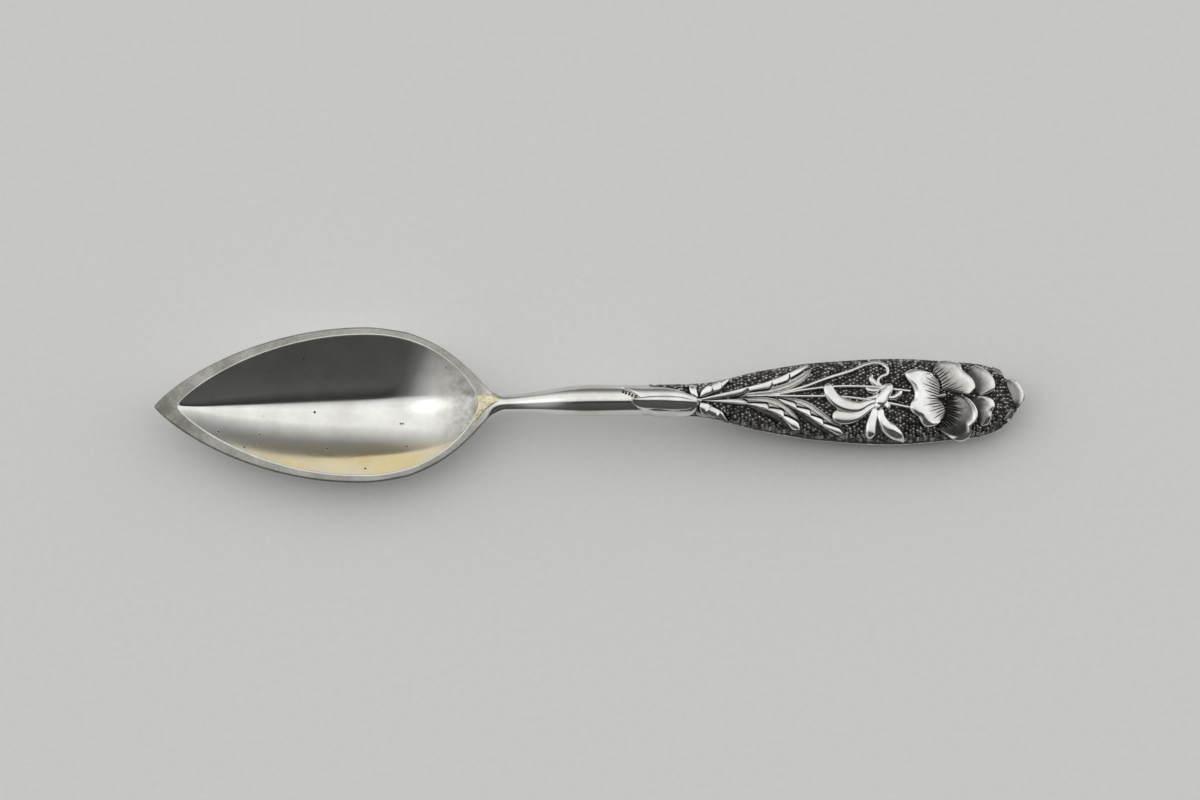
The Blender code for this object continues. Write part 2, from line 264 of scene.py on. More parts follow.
def blend(tree, share, first, second):
    """Mixes two colours or greys by a share from 0 to 1."""
    sides = {6: first, 7: second}
    ready = {i: c if isinstance(c, bpy.types.NodeSocket) else colour_of(c) for i, c in sides.items()}
    return add_node(tree, "Mix", {0: share, **ready}, data_type="RGBA").outputs[2]


def reckon(tree, operation, first, second):
    """One sum on two values."""
    return add_node(tree, "Math", {0: first, 1: second}, operation=operation).outputs["Value"]


def times(tree, first, second):
    """One value times another."""
    return reckon(tree, "MULTIPLY", first, second)


def noise(tree, place, scale, detail=4.0, roughness=0.55):
    """Cloudy noise with about this many clouds to the metre."""
    inputs = {"Vector": place, "Scale": scale, "Detail": detail, "Roughness": roughness}
    return add_node(tree, "TexNoise", inputs).outputs["Fac"]


def mark_of(tree, name):
    """A mark that the mesh holds."""
    return add_node(tree, "Attribute", attribute_name=name).outputs["Fac"]


def set_finish(tree, shader, colour, roughness, metallic=1.0):
    """Links a finish's colour and roughness to its shader."""
    tree.links.new(colour, shader.inputs["Base Color"])
    tree.links.new(roughness, shader.inputs["Roughness"])
    shader.inputs["Metallic"].default_value = metallic


def roughen(tree, shader, height, strength, depth):
    """Gives a finish a fine tooth of this depth."""
    tooth = add_node(tree, "Bump", {"Strength": strength, "Distance": depth * MM, "Height": height})
    tree.links.new(tooth.outputs["Normal"], shader.inputs["Normal"])


silver, tree, shader, place = start_material("polished_silver")
split = add_node(tree, "SeparateXYZ", {"Vector": place}).outputs
rim_mark = mark_of(tree, "rim")
inside_mark = mark_of(tree, "inside")
haze = noise(tree, place, 130, 5, 0.62)
grain = noise(tree, place, 2400, 3)
mottle = noise(tree, place, 620, 6, 0.72)
stroked = add_node(tree, "Mapping", {"Vector": place, "Scale": (0.035, 1, 1)}).outputs["Vector"]
scratches = noise(tree, stroked, 5200, 2, 0.7)
bright = ramp(tree, haze, (0.32, (0.67, 0.66, 0.62)), (0.6, (0.83, 0.825, 0.795)))
# Inside, the near slope of the bowl is tinted a patchy yellow.
near_slope = ramp(tree, times(tree, split["Y"], -100), (0.45, 0.0), (0.85, 1.0))
near_slope_yellow = times(tree, near_slope, ramp(tree, haze, (0.38, 0.35), (0.6, 0.95)))
yellow_tinted = blend(tree, times(tree, near_slope_yellow, inside_mark), bright, (0.78, 0.65, 0.36))
along_heel = reckon(tree, "ADD", times(tree, split["X"], 100), 2.85)
towards_heel = ramp(tree, along_heel, (0.22, 0.0), (0.5, 0.5), (0.9, 1.0))
blotches = ramp(tree, mottle, (0.36, 1.0), (0.6, 0.5))
tarnish = times(tree, times(tree, towards_heel, inside_mark), blotches)
tinted_and_tarnished = blend(tree, tarnish, yellow_tinted, (0.22, 0.21, 0.185))
speckle = reckon(tree, "ADD", times(tree, grain, 0.35), times(tree, haze, 0.65))
# The filed rim's dark grey is partly its satin finish and partly a painted dim reflection.
satin_and_painted_reflection = ramp(
    tree, speckle, (0.34, (0.25, 0.24, 0.215)), (0.5, (0.36, 0.35, 0.325)), (0.66, (0.46, 0.45, 0.42))
)
towards_tip = ramp(tree, times(tree, split["X"], -14), (0.75, 0.0), (1.0, 1.0))
stain = times(tree, towards_tip, ramp(tree, haze, (0.42, 0.75), (0.58, 0.1)))
stained = blend(tree, stain, satin_and_painted_reflection, (0.13, 0.125, 0.1))
coloured = blend(tree, rim_mark, tinted_and_tarnished, stained)
pores = add_node(tree, "TexVoronoi", {"Vector": place, "Scale": 480.0})
chosen = ramp(tree, pores.outputs["Color"], (0.5, 0.0), (0.68, 1.0))
pits = times(tree, ramp(tree, pores.outputs["Distance"], (0.07, 1.0), (0.13, 0.0)), chosen)
shown_pits = times(tree, pits, inside_mark)
pitted_colour = blend(tree, shown_pits, coloured, (0.07, 0.065, 0.055))
polish = ramp(tree, haze, (0.35, 0.13), (0.6, 0.07))
scratched = blend(tree, ramp(tree, scratches, (0.6, 0.0), (0.75, 1.0)), polish, 0.2)
worn_roughness = blend(tree, rim_mark, scratched, ramp(tree, speckle, (0.36, 0.42), (0.6, 0.32)))
set_finish(tree, shader, pitted_colour, blend(tree, shown_pits, worn_roughness, 0.6))
file_marks = times(tree, grain, times(tree, rim_mark, 0.5))
roughen(tree, shader, reckon(tree, "SUBTRACT", file_marks, shown_pits), 0.35, 0.05)
bowl.data.materials.append(silver)
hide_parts("bowl")
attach(bowl, "root")

# Heel solder: pale yellow hard solder that fills the joint between the bowl's heel and the stem. It has run
# out over the top of the joint as a thin, pitted, three-cornered patch.
SOLDER_ROOT = 2.0
SOLDER_OUTLINE = (
    (-18.5, 1.3), (-17.0, 1.5), (-15.5, 1.2), (-15.2, 0.6), (-16.2, -0.2), (-17.5, -1.2),
    (-18.6, -2.4), (-19.3, -3.1), (-19.3, -2.2), (-18.7, -0.6),
)
SOLDER_MIDDLE = (-17.5, 0.0)
SOLDER_LIFT = ((0, 0.12), (0.7, 0.1), (0.93, 0.05), (1, 0.0))
FORM_ROOT = 0.35
FOOT_DARKNESS = 1.2


def smooth_through(stations, share, closed=False):
    """A smooth curve through rows of numbers, the first two being a place; share runs along it, 0 to 1."""
    rows = np.array(stations, float)
    if closed:
        rows = np.vstack((rows, rows[:1]))
    steps = np.linalg.norm(np.diff(rows[:, :2], axis=0), axis=1)
    place = np.concatenate(([0], np.cumsum(steps))) / steps.sum()
    gap = np.diff(place)[:, None]
    rise = np.diff(rows, axis=0) / gap
    slope = np.empty_like(rows)
    slope[1:-1] = (rise[:-1] * gap[1:] + rise[1:] * gap[:-1]) / (gap[1:] + gap[:-1])
    slope[0] = rise[0]
    slope[-1] = rise[-1]
    if closed:
        slope[0] = (rise[-1] * gap[0] + rise[0] * gap[-1]) / (gap[0] + gap[-1])
        slope[-1] = slope[0]
    share = np.clip(share, 0, 1)
    i = np.clip(np.searchsorted(place, share, side="right") - 1, 0, len(gap) - 1)
    t = ((share - place[i]) / gap[i, 0])[:, None]
    return bend(t, gap[i], rows[i], rows[i + 1], slope[i], slope[i + 1])


def down_to_foot(lift, lightness, sunk, root=FORM_ROOT):
    """A raised form's height and its mark of wear and painted shade, where its side runs down (sunk goes
    from
    0 to 1) to a dark foot that is set this deep in what carries it."""
    return (1 - sunk) * lift - sunk * root, {"wear_and_shade": lightness - (lightness + FOOT_DARKNESS) * sunk}


def cushion(name, outline, middle, lifts, put, root=FORM_ROOT, shine=1.0):
    """A raised form inside a closed outline. lifts gives its height from the middle (0) to the edge (1),
    and put places it on what carries it."""
    rows = 40
    columns = 96
    top = 0.7
    wall = 0.8
    crowding = 1.6

    def shape(along, across):
        edge = smooth_through(outline, across, closed=True)
        on_top = 1 - (1 - portion(along, 0, top)) ** crowding
        reach = np.where(along <= top, on_top, portion(along, 1, wall))
        sunk = portion(along, top, wall)
        lift, marks = down_to_foot(ease(on_top, lifts), shine, sunk, root)
        x = middle[0] + (edge[:, 0] - middle[0]) * reach
        y = middle[1] + (edge[:, 1] - middle[1]) * reach
        return put(x, y, lift), marks

    return form_sheet(name, rows, columns, shape)


def on_heel(x, y, lift):
    """A place on the flat top of the bowl's heel and neck."""
    neck = neck_share(x)
    bulge = np.sqrt(np.maximum(1 - (y / rim_outline(x)) ** 2, 0))
    top = ease(x, SPOON_AXIS) + ease(x, STEM_HALF_HEIGHT) * bulge
    return x, y, (1 - neck) * RIM_HEIGHT + neck * top + lift


heel_solder = cushion(
    "heel_solder_patch", SOLDER_OUTLINE, SOLDER_MIDDLE, SOLDER_LIFT, on_heel, root=SOLDER_ROOT
)
solder, tree, shader, place = start_material("yellow_solder")
pitted = noise(tree, place, 1900, 3, 0.7)
cloudy = noise(tree, place, 600)
pale = ramp(tree, cloudy, (0.35, (0.66, 0.58, 0.36)), (0.62, (0.87, 0.81, 0.6)))
yellow = blend(tree, ramp(tree, pitted, (0.3, 1.0), (0.42, 0.0)), pale, (0.2, 0.17, 0.1))
set_finish(tree, shader, yellow, ramp(tree, pitted, (0.3, 0.7), (0.6, 0.36)))
roughen(tree, shader, pitted, 0.6, 0.1)
heel_solder.data.materials.append(solder)
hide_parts("heel_solder")
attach(heel_solder, "root")

# Stem: a solid round silver stem, forged with a slim neck and a swelling, and polished. Its far end is a
# thinner tang, which runs on inside the hollow handle and is bedded in the filling there.
MOUTH_X = 8.4
TANG_END_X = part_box("stem")[1].x / MM
TANG_RADIUS = 1.25
STEM_ROWS = 150
SHOWN_ROWS_SHARE = 0.8


def stem_shape(along, across):
    shown = portion(along, 0, SHOWN_ROWS_SHARE)
    hidden = portion(along, SHOWN_ROWS_SHARE, 1)
    (x, y, z), marks = spoon_section(JOINT_X + (MOUTH_X - JOINT_X) * shown, across)
    axis = ease(x, SPOON_AXIS)
    tang = along > SHOWN_ROWS_SHARE
    tang_x = MOUTH_X + (TANG_END_X - MOUTH_X) * hidden
    slim = TANG_RADIUS / ease(x, STEM_HALF_HEIGHT)
    y = np.where(tang, y * slim, y)
    z = np.where(tang, ease(tang_x, SPOON_AXIS) + (z - axis) * slim, z)
    return (np.where(tang, tang_x, x), y, z), marks


stem = form_sheet("silver_stem", STEM_ROWS, ROUND_COLUMNS, stem_shape)
stem.data.materials.append(silver)
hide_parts("stem")
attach(stem, "root")

# Filling and mouth solder: the hollow handle is filled with hard brown pitch that grips the tang, and a
# collar of silver solder closes the mouth round it. Both lie hidden, so the fixed frame's own solids stay.
pitch, tree, shader, place = start_material("filler_pitch")
lumps = noise(tree, place, 700)
brown = ramp(tree, lumps, (0.3, (0.03, 0.02, 0.014)), (0.7, (0.08, 0.055, 0.038)))
set_finish(tree, shader, brown, ramp(tree, lumps, (0.3, 0.75), (0.7, 0.5)), metallic=0.0)
dull_solder, tree, shader, place = start_material("silver_solder")
streaks = noise(tree, place, 1500)
dull_silver = ramp(tree, streaks, (0.3, (0.42, 0.41, 0.37)), (0.65, (0.82, 0.81, 0.77)))
set_finish(tree, shader, dull_silver, ramp(tree, streaks, (0.3, 0.45), (0.7, 0.24)))
for node, finish in (("filler_core", pitch), ("mouth_solder", dull_solder)):
    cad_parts[node].data.materials.clear()
    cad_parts[node].data.materials.append(finish)

# Half shells: the front and the back of the hollow handle, each struck in a die from thin silver sheet. The
# ground between the ornament is sunk a little and darkened with oxide, and the far end is scalloped.
END_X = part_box("front_shell")[1].x / MM
SHELL_WALL = 0.5
HALF_SEAM = 0.1
GROUND_SINK = {1: 0.3, -1: 0.45}
FULL_SINK_X = 13.0
MOUTH_POLISH = ((MOUTH_X, 1.0), (10.0, 0.95), (11.8, 0.12))
CAP_LENGTH = 8.0
CAP_BLUNT = 0.985
HANDLE_HALF_WIDTH = (
    (MOUTH_X, 2.45), (17.97, 2.73), (27.95, 4.94), (37.94, 6.49), (50, 7.15), (61, 6.435), (72, 5.36),
)
HANDLE_HALF_THICKNESS = ((MOUTH_X, 2.45), (50, 3.8), (72, 2.66))
SQUARENESS = ((MOUTH_X, 2.0), (28, 2.6))
END_MIDDLE = (
    (66, 0.0), (68.2, 0.05), (68.6, -0.17), (69.3, -0.05), (69.9, 0.3), (70.2, 0.75), (70.6, 0.8),
    (71.2, 0.66), (72, 0.6),
)
END_CUT = (
    (64, 0.0), (67.4, 0.12), (68.2, 0.28), (68.5, 0.6), (69.3, 0.7), (69.9, 0.65), (70.15, 1.0),
    (70.5, 0.8), (71, 0.68), (71.65, 0.66), (72, 0.35),
)
OUTSIDE = 0.75
SHELL_ROWS = 220
SHELL_COLUMNS = 96
SHELL_CLEAR = 0.02
THINNEST = 0.05
END_CROWDING = 0.8


def cap_round(x):
    """The rounding of the handle's far end."""
    return np.sqrt(1 - CAP_BLUNT * np.clip((x - END_X + CAP_LENGTH) / CAP_LENGTH, 0, 1) ** 2)


def half_width(x):
    """The handle's half width, less what is cut in at its scalloped far end."""
    return ease(x, HANDLE_HALF_WIDTH) * cap_round(x) - ease(x, END_CUT)


def middle_y(x):
    """Where the middle of the handle lies: its scalloped far end isn't alike on both sides."""
    return ease(x, END_MIDDLE)


def half_thickness(x):
    """How high the handle stands over its seam, with its ornament."""
    return ease(x, HANDLE_HALF_THICKNESS) * cap_round(x)


def ground_height(x, face):
    """How high the sunk ground stands over the seam; at the mouth it isn't sunk and meets the stem."""
    sink = ease(x, ((MOUTH_X, 0), (FULL_SINK_X, GROUND_SINK[face])))
    return np.maximum(half_thickness(x) - sink, THINNEST)


def shell_shape(face):
    def shape(along, across):
        x = MOUTH_X + (END_X - MOUTH_X) * np.sin(np.pi / 2 * along**END_CROWDING)
        outside = across <= OUTSIDE
        turn = np.where(outside, across / OUTSIDE, (1 - across) / (1 - OUTSIDE)) * np.pi
        inset = np.where(outside, 0, SHELL_WALL)
        wide = np.maximum(half_width(x) - inset, 2 * THINNEST)
        high = np.maximum(ground_height(x, face) - inset, THINNEST)
        power = 2 / ease(x, SQUARENESS)
        y = middle_y(x) + wide * np.sign(np.cos(turn)) * np.abs(np.cos(turn)) ** power
        z = ease(x, SPOON_AXIS) + face * (HALF_SEAM + high * np.abs(np.sin(turn)) ** power)
        return (x, y, np.maximum(z, SHELL_CLEAR)), {"wear_and_shade": ease(x, MOUTH_POLISH)}

    return shape


oxidised, tree, shader, place = start_material("oxidised_silver")
smut = noise(tree, place, 1500, 4, 0.65)
film = noise(tree, place, 260, 3)
uneven = times(tree, reckon(tree, "SUBTRACT", smut, 0.5), 0.3)
# The wear_and_shade mark holds the silver's wear and oxide, and the painted shade given to some forms.
lightness = reckon(tree, "ADD", mark_of(tree, "wear_and_shade"), uneven)
oxide = ramp(
    tree, lightness, (0.08, (0.022, 0.021, 0.021)), (0.36, (0.1, 0.096, 0.092)),
    (0.62, (0.42, 0.41, 0.39)), (0.85, (0.84, 0.835, 0.81)),
)
filmed = blend(tree, ramp(tree, film, (0.35, 0.3), (0.6, 0.0)), oxide, (0.3, 0.285, 0.25))
darkest = ramp(tree, lightness, (0.1, 0.0), (0.5, 1.0))
toned = blend(tree, darkest, oxide, filmed)
set_finish(tree, shader, toned, ramp(tree, lightness, (0.15, 0.55), (0.8, 0.17)))
roughen(tree, shader, smut, 0.15, 0.04)
for name, node, face in (("front_ground", "front_shell", 1), ("back_ground", "back_shell", -1)):
    shell = form_sheet(name, SHELL_ROWS, SHELL_COLUMNS, shell_shape(face))
    shell.data.materials.append(oxidised)
    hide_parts(node)
    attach(shell, "root")

# Seam: the two half shells are soldered edge to edge, and the solder is filed down to a thin bright line
# that runs all round the handle.
SEAM_PROUD = 0.07
SEAM_DEPTH = 0.5
SEAM_HALF_HEIGHT = 0.13
SEAM_CORNERS = (0, 0.2, 0.5, 0.7, 1)
SEAM_ROWS = 320
SEAM_COLUMNS = 10


def seam_shape(along, across):
    there = 1 - np.abs(2 * along - 1)
    side = np.where(along < 0.5, 1.0, -1.0)

    def edge(share):
        x = MOUTH_X + (END_X - MOUTH_X) * np.sin(np.pi / 2 * share)
        return x, middle_y(x) + side * half_width(x)

    x, y = edge(there)
    step = 0.002
    before = edge(np.clip(there - step, 0, 1))
    after = edge(np.clip(there + step, 0, 1))
    run_x = side * (after[0] - before[0])
    run_y = side * (after[1] - before[1])
    length = np.maximum(np.hypot(run_x, run_y), 1e-9)
    out = np.interp(across, SEAM_CORNERS, (SEAM_PROUD, SEAM_PROUD, -SEAM_DEPTH, -SEAM_DEPTH, SEAM_PROUD))
    up = SEAM_HALF_HEIGHT * np.interp(across, SEAM_CORNERS, (-0.6, 0.6, 1, -1, -0.6))
    return (x - out * run_y / length, y + out * run_x / length, ease(x, SPOON_AXIS) + up), {}


seam = form_sheet("seam_line", SEAM_ROWS, SEAM_COLUMNS, seam_shape)
seam.data.materials.append(dull_solder)
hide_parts("seam_solder")
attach(seam, "root")

# Sheath: a smooth folded leaf at the handle's mouth that wraps the end of the stem on the front and on the
# back, struck in one with the half shells and polished.
ROUND_RADIUS = 2.5
SHEATH_OUTLINE = (
    (4.7, 1.75), (8.1, 1.8), (11.7, 1.95), (14.1, 2.5), (15.7, 3.2), (17.1, 3.8), (17.7, 4.3), (17.5, 5.2),
    (16.7, 6.5), (15.7, 7.6), (14.1, 8.3), (11.9, 8.4), (10.4, 8.1), (9.9, 7.4), (8.9, 5.7), (7.8, 4.0),
    (6.3, 2.7),
)
SHEATH_MIDDLE = (12.3, 5.0)
SHEATH_LIFT = ((0, 0.36), (0.6, 0.34), (0.9, 0.26), (1, 0.1))
FOLD = (
    (6.6, 4.2, 0.3, 0.2), (8.4, 4.75, 1.2, 0.45), (11.0, 4.95, 1.6, 0.5), (14.5, 5.1, 1.6, 0.5),
    (16.6, 4.8, 0.9, 0.4), (17.3, 4.5, 0.4, 0.2),
)
FOLD_CROWN = 1.4
FOLD_LEAN = -0.53
FOLD_BASE = -0.15
FACES = ((1, "front"), (-1, "back"))


def round_mouth(face):
    """Places on the round mouth of the handle: x along it, and mm round it from the edge that faces +Y."""
    def put(x, around, lift):
        turn = around / ROUND_RADIUS
        wide = half_width(x) + lift
        high = half_thickness(x) + HALF_SEAM + lift
        return x, wide * np.cos(turn), ease(x, SPOON_AXIS) + face * high * np.sin(turn)

    return put


def strand(name, stations, put, crown=2.0, lean=0.0, base=0.0, rows=40, columns=20):
    """A tapered, rounded strand along a path. Each station is its place, its half width and its height;
    a lean moves its ridge to one side, a low crown makes the ridge sharp, and base raises all of it."""
    top = 0.7
    foot = (0.75, 0.95)
    wall = 0.2
    step = 0.004
    table = np.array(stations, float)
    ends = table[[0, -1], 2]
    length = np.linalg.norm(np.diff(table[:, :2], axis=0), axis=1).sum()

    def shape(along, across):
        share = crowd_ends(along)
        x, y, half, tall = smooth_through(stations, share).T
        ahead = smooth_through(stations, share + step) - smooth_through(stations, share - step)
        run = np.maximum(np.hypot(ahead[:, 0], ahead[:, 1]), 1e-9)
        first = np.clip(share * length / ends[0], 0, 1)
        last = np.clip((1 - share) * length / ends[1], 0, 1)
        rounded = np.sqrt(1 - (1 - first) ** 2) * np.sqrt(1 - (1 - last) ** 2)
        on_top = across <= top
        under = np.interp(across, (top, *foot, 1), (1, 1, -1, -1))
        t = np.where(on_top, -np.cos(np.pi * across / top), under)
        off = np.abs(np.where(t < lean, (t - lean) / (1 + lean), (t - lean) / (1 - lean)))
        arch = (1 - np.minimum(off, 1) ** crown) ** (1 / max(crown, 1.4))
        sunk = np.interp(across, (0, top, *foot, 1), (0, 0, 1, 1, 0))
        lift = base + wall + tall * rounded**0.8 * np.where(on_top, arch, 0)
        lift, marks = down_to_foot(lift, 1.0, sunk)
        x = x - ahead[:, 1] / run * half * rounded * t
        y = y + ahead[:, 0] / run * half * rounded * t
        return put(x, y, lift), marks

    return form_sheet(name, rows, columns, shape)


ornaments = {face: [] for face, side in FACES}


def strike(name, place_on, form_parts):
    """Forms an ornament's parts on the front and on the back of the handle, joins those of each side into
    one piece and gives it the handle's oxidised silver."""
    for face, side in FACES:
        parts = form_parts(place_on(face))
        bpy.ops.object.select_all(action="DESELECT")
        for part in parts:
            part.select_set(True)
        piece = parts[0]
        bpy.context.view_layer.objects.active = piece
        bpy.ops.object.join()
        piece.name = side + "_" + name
        piece.data.name = piece.name
        piece.data.materials.append(oxidised)
        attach(piece, "root")
        ornaments[face].append(piece)


def sheath_parts(put):
    wrap = cushion("leaf_wrap", SHEATH_OUTLINE, SHEATH_MIDDLE, SHEATH_LIFT, put)
    fold = strand("leaf_fold", FOLD, put, FOLD_CROWN, FOLD_LEAN, FOLD_BASE, rows=80, columns=48)
    return [wrap, fold]


strike("sheath", round_mouth, sheath_parts)

# Leaves: long toothed leaves that spread from the end of the sheath. Along one side of each stands a row of
# bright overlapping lobes, chased after striking; the rest is a low, finely grooved blade.
EDGE_LIMIT = 0.985
RELIEF_SHARE = {1: 1.0, -1: 0.55}
RUBBED_HEIGHT = 0.3
NO_STRIPES = ((0, 0.0), (1, 0.0))
STRIPES = ((0, 0.0), (0.2, 0.16), (0.45, 0.23), (0.8, 0.25), (1, 0.08))
UPPER_LEAF = {
    "outer": (
        (17.8, -0.1), (21.1, 0.8), (24.4, 1.6), (27.1, 2.3), (29.5, 3.0), (32.2, 4.1), (33.9, 4.9),
        (35.6, 5.5), (36.4, 5.2),
    ),
    "inner": (
        (17.7, -0.4), (20.3, -0.18), (22.8, 0.05), (24.4, 0.25), (27.1, 0.55), (29.7, 0.7), (31.1, 1.0),
        (32.4, 1.4), (33.7, 2.0), (34.9, 2.8), (35.8, 3.7), (36.4, 4.8),
    ),
    "lobe_ends": (0, 0.42, 0.63, 0.79, 1),
    "lobe_widths": ((1.0, 0.8), (0.5, 0.58), (0.4, 0.46), (0.38, 0.3)),
    "crest": 0.2,
}
LOWER_LEAF = {
    "outer": (
        (18.0, -0.4), (21.1, -0.7), (24.4, -1.2), (26.1, -1.5), (27.7, -2.2), (29.4, -2.9), (30.7, -3.6),
        (31.9, -4.4), (33.0, -5.0), (34.3, -4.9),
    ),
    "inner": (
        (18.0, -0.3), (20.3, -0.2), (22.8, 0.0), (25.6, 0.15), (28.1, 0.3), (29.4, 0.25), (30.7, -0.1),
        (31.9, -0.7), (33.0, -1.8), (33.9, -3.0), (34.5, -4.3),
    ),
    "lobe_ends": (0, 0.44, 0.64, 0.8, 1),
    "lobe_widths": ((1.0, 0.85), (0.4, 0.66), (0.4, 0.66), (0.44, 0.9)),
    "stripes": STRIPES,
    "crest": 0.22,
    "tilt": 0.1,
}
SECOND_LEAF = {
    "outer": (
        (30.8, -0.2), (31.8, -1.0), (33.6, -2.3), (34.6, -3.0), (36.0, -3.9), (37.6, -4.9), (39.3, -5.6),
        (40.6, -5.8), (41.4, -5.5),
    ),
    "inner": (
        (30.4, 0.3), (31.4, 0.3), (32.7, 0.2), (34.4, 0.0), (36.0, -0.6), (37.3, -1.5), (38.5, -2.4),
        (39.8, -3.5), (40.9, -4.4), (41.6, -5.1),
    ),
    "lobe_ends": (0, 0.29, 0.5, 0.7, 1),
    "lobe_widths": ((0.6, 0.66), (0.4, 0.66), (0.4, 0.66), (0.44, 0.9)),
    "stripes": STRIPES,
    "crest": 0.22,
    "tilt": 0.1,
}
SMALL_UPPER_LEAF = {
    "outer": ((17.8, 0.1), (18.8, 0.4), (20.0, 0.9), (21.3, 1.4), (21.7, 1.9), (22.2, 2.3), (22.8, 2.7)),
    "inner": ((17.7, 0.3), (17.8, 1.2), (18.8, 2.0), (20.1, 2.65), (21.5, 2.95), (22.8, 2.8)),
    "lobe_ends": (0, 0.45, 0.72, 1),
    "lobe_widths": ((0.75, 0.85), (0.7, 0.85), (0.7, 0.95)),
    "crest": 0.85,
    "blade_worn": 0.8,
    "tall": 1.5,
}
SMALL_LOWER_LEAF = {
    "outer": (
        (17.8, -0.7), (19.0, -0.8), (19.9, -1.3), (20.4, -1.5), (21.4, -2.0), (21.9, -2.6), (22.7, -3.3),
    ),
    "inner": (
        (17.7, -0.9), (17.1, -1.6), (17.2, -2.4), (18.1, -2.7), (19.8, -2.8), (21.4, -3.1), (22.6, -3.4),
    ),
    "lobe_ends": (0, 0.35, 0.65, 1),
    "lobe_widths": ((0.65, 0.7), (0.6, 0.75), (0.65, 0.9)),
    "crest": 0.85,
    "tall": 1.8,
}
LEAVES = (UPPER_LEAF, LOWER_LEAF, SECOND_LEAF, SMALL_UPPER_LEAF, SMALL_LOWER_LEAF)
BUD = ((17.4, 0.1, 0.2), (16.9, 0.8, 0.55), (16.6, 1.5, 0.58), (16.4, 2.1, 0.3))
BUD_HEIGHT = 0.42
BUD_CROWN = 2.5
KNOT = ((17.1, -0.3, 0.35, 0.5), (18.1, -0.4, 0.35, 0.5))
SKIRT_SHARE = 0.05
BLADE_LIFT = 0.15
BLADE_WORN = 0.68
GROOVE_COUNT = 4
GROOVE_DEPTH = 0.05
GROOVE_DARKNESS = 0.14
STRIPE_COUNT = 3
STRIPE_HEIGHT = 0.06
STRIPE_SHADE_AND_WEAR = (0.05, 0.45)
LOBE_START = 0.4
LOBE_RISE = 0.2
LOBE_FALL = 0.42
LOBE_FALL_CURVE = 1.5
FULL_LOBE = 1.1
LOBE_ROUND_FROM = 0.72
LOBE_WALL = 0.1
LOBE_WORN = (0.85, 0.15)
CREASE_WIDTH = 0.12
CREASE_DEPTH = 0.1
CREASE_SHADOW_AND_OXIDE = 0.8
LEAF_EDGE_ROUND = 0.25
LEAF_EDGE_DROP = 0.12


def on_handle(face):
    """Places on the ground of the front or the back shell, raised along the way that the ground faces. What
    comes near the table is pressed softly flat, so that nothing reaches below it."""
    def put(x, y, lift):
        step = 0.02
        lift = lift * RELIEF_SHARE[face]
        wide = half_width(x)
        high = ground_height(x, face)
        square = ease(x, SQUARENESS)
        share = np.clip((y - middle_y(x)) / wide, -EDGE_LIMIT, EDGE_LIMIT)
        up = (1 - np.abs(share) ** square) ** (1 / square)
        top = up ** (square - 1)
        side = np.sign(share) * np.abs(share) ** (square - 1)
        after = np.minimum(x + step, END_X)
        fall = (ease(x + step, SPOON_AXIS) - ease(x - step, SPOON_AXIS)) / (2 * step)
        spread = (half_width(after) - half_width(x - step)) / (2 * step)
        swell = (ground_height(after, face) - ground_height(x - step, face)) / (2 * step)
        turned = (middle_y(after) - middle_y(x - step)) / (2 * step)
        way_x = -fall * face * top / high - side * (share * spread + turned) / wide
        way_x = way_x - top * up * swell / high
        way_y = side / wide
        way_z = face * top / high
        length = np.sqrt(way_x**2 + way_y**2 + way_z**2)
        z = ease(x, SPOON_AXIS) + face * (HALF_SEAM + high * up) + lift * way_z / length
        rubbed = RUBBED_HEIGHT * np.exp(np.minimum(z - RUBBED_HEIGHT, 0) / RUBBED_HEIGHT)
        z = np.where(z < RUBBED_HEIGHT, rubbed, z)
        return x + lift * way_x / length, y + lift * way_y / length, z

    return put


def with_height(stations, height, widen=1.0):
    """Gives each station of a strand its height, less where the strand is slim."""
    widest = max(row[2] for row in stations)
    return tuple((x, y, half * widen, height * (0.3 + 0.7 * half / widest)) for x, y, half in stations)


def with_skirt(along, across):
    """Splits a flat grid into the top of a form and a skirt round it: the shares along and across the top,
    and how far a point has sunk down the skirt."""
    on_top = [np.clip((share - SKIRT_SHARE) / (1 - 2 * SKIRT_SHARE), 0, 1) for share in (along, across)]
    off_middle = np.maximum(np.abs(along - 0.5), np.abs(across - 0.5))
    return (*on_top, np.clip((off_middle - 0.5 + SKIRT_SHARE) / SKIRT_SHARE, 0, 1))


def between(first, second, along, across):
    """A place on the surface stretched between two edges, and how far the edges lie apart there."""
    start = smooth_through(first, along)
    way_x, way_y = (smooth_through(second, along) - start).T
    return start[:, 0] + way_x * across, start[:, 1] + way_y * across, np.hypot(way_x, way_y)


def pillow(from_edge, radius, drop):
    """How far a softly rounded edge has dropped at this distance from it."""
    return drop / radius * round_off(from_edge, radius)


def wave(turns):
    """From 1 to 0 and back again at each turn."""
    return 0.5 + 0.5 * np.cos(2 * np.pi * turns)


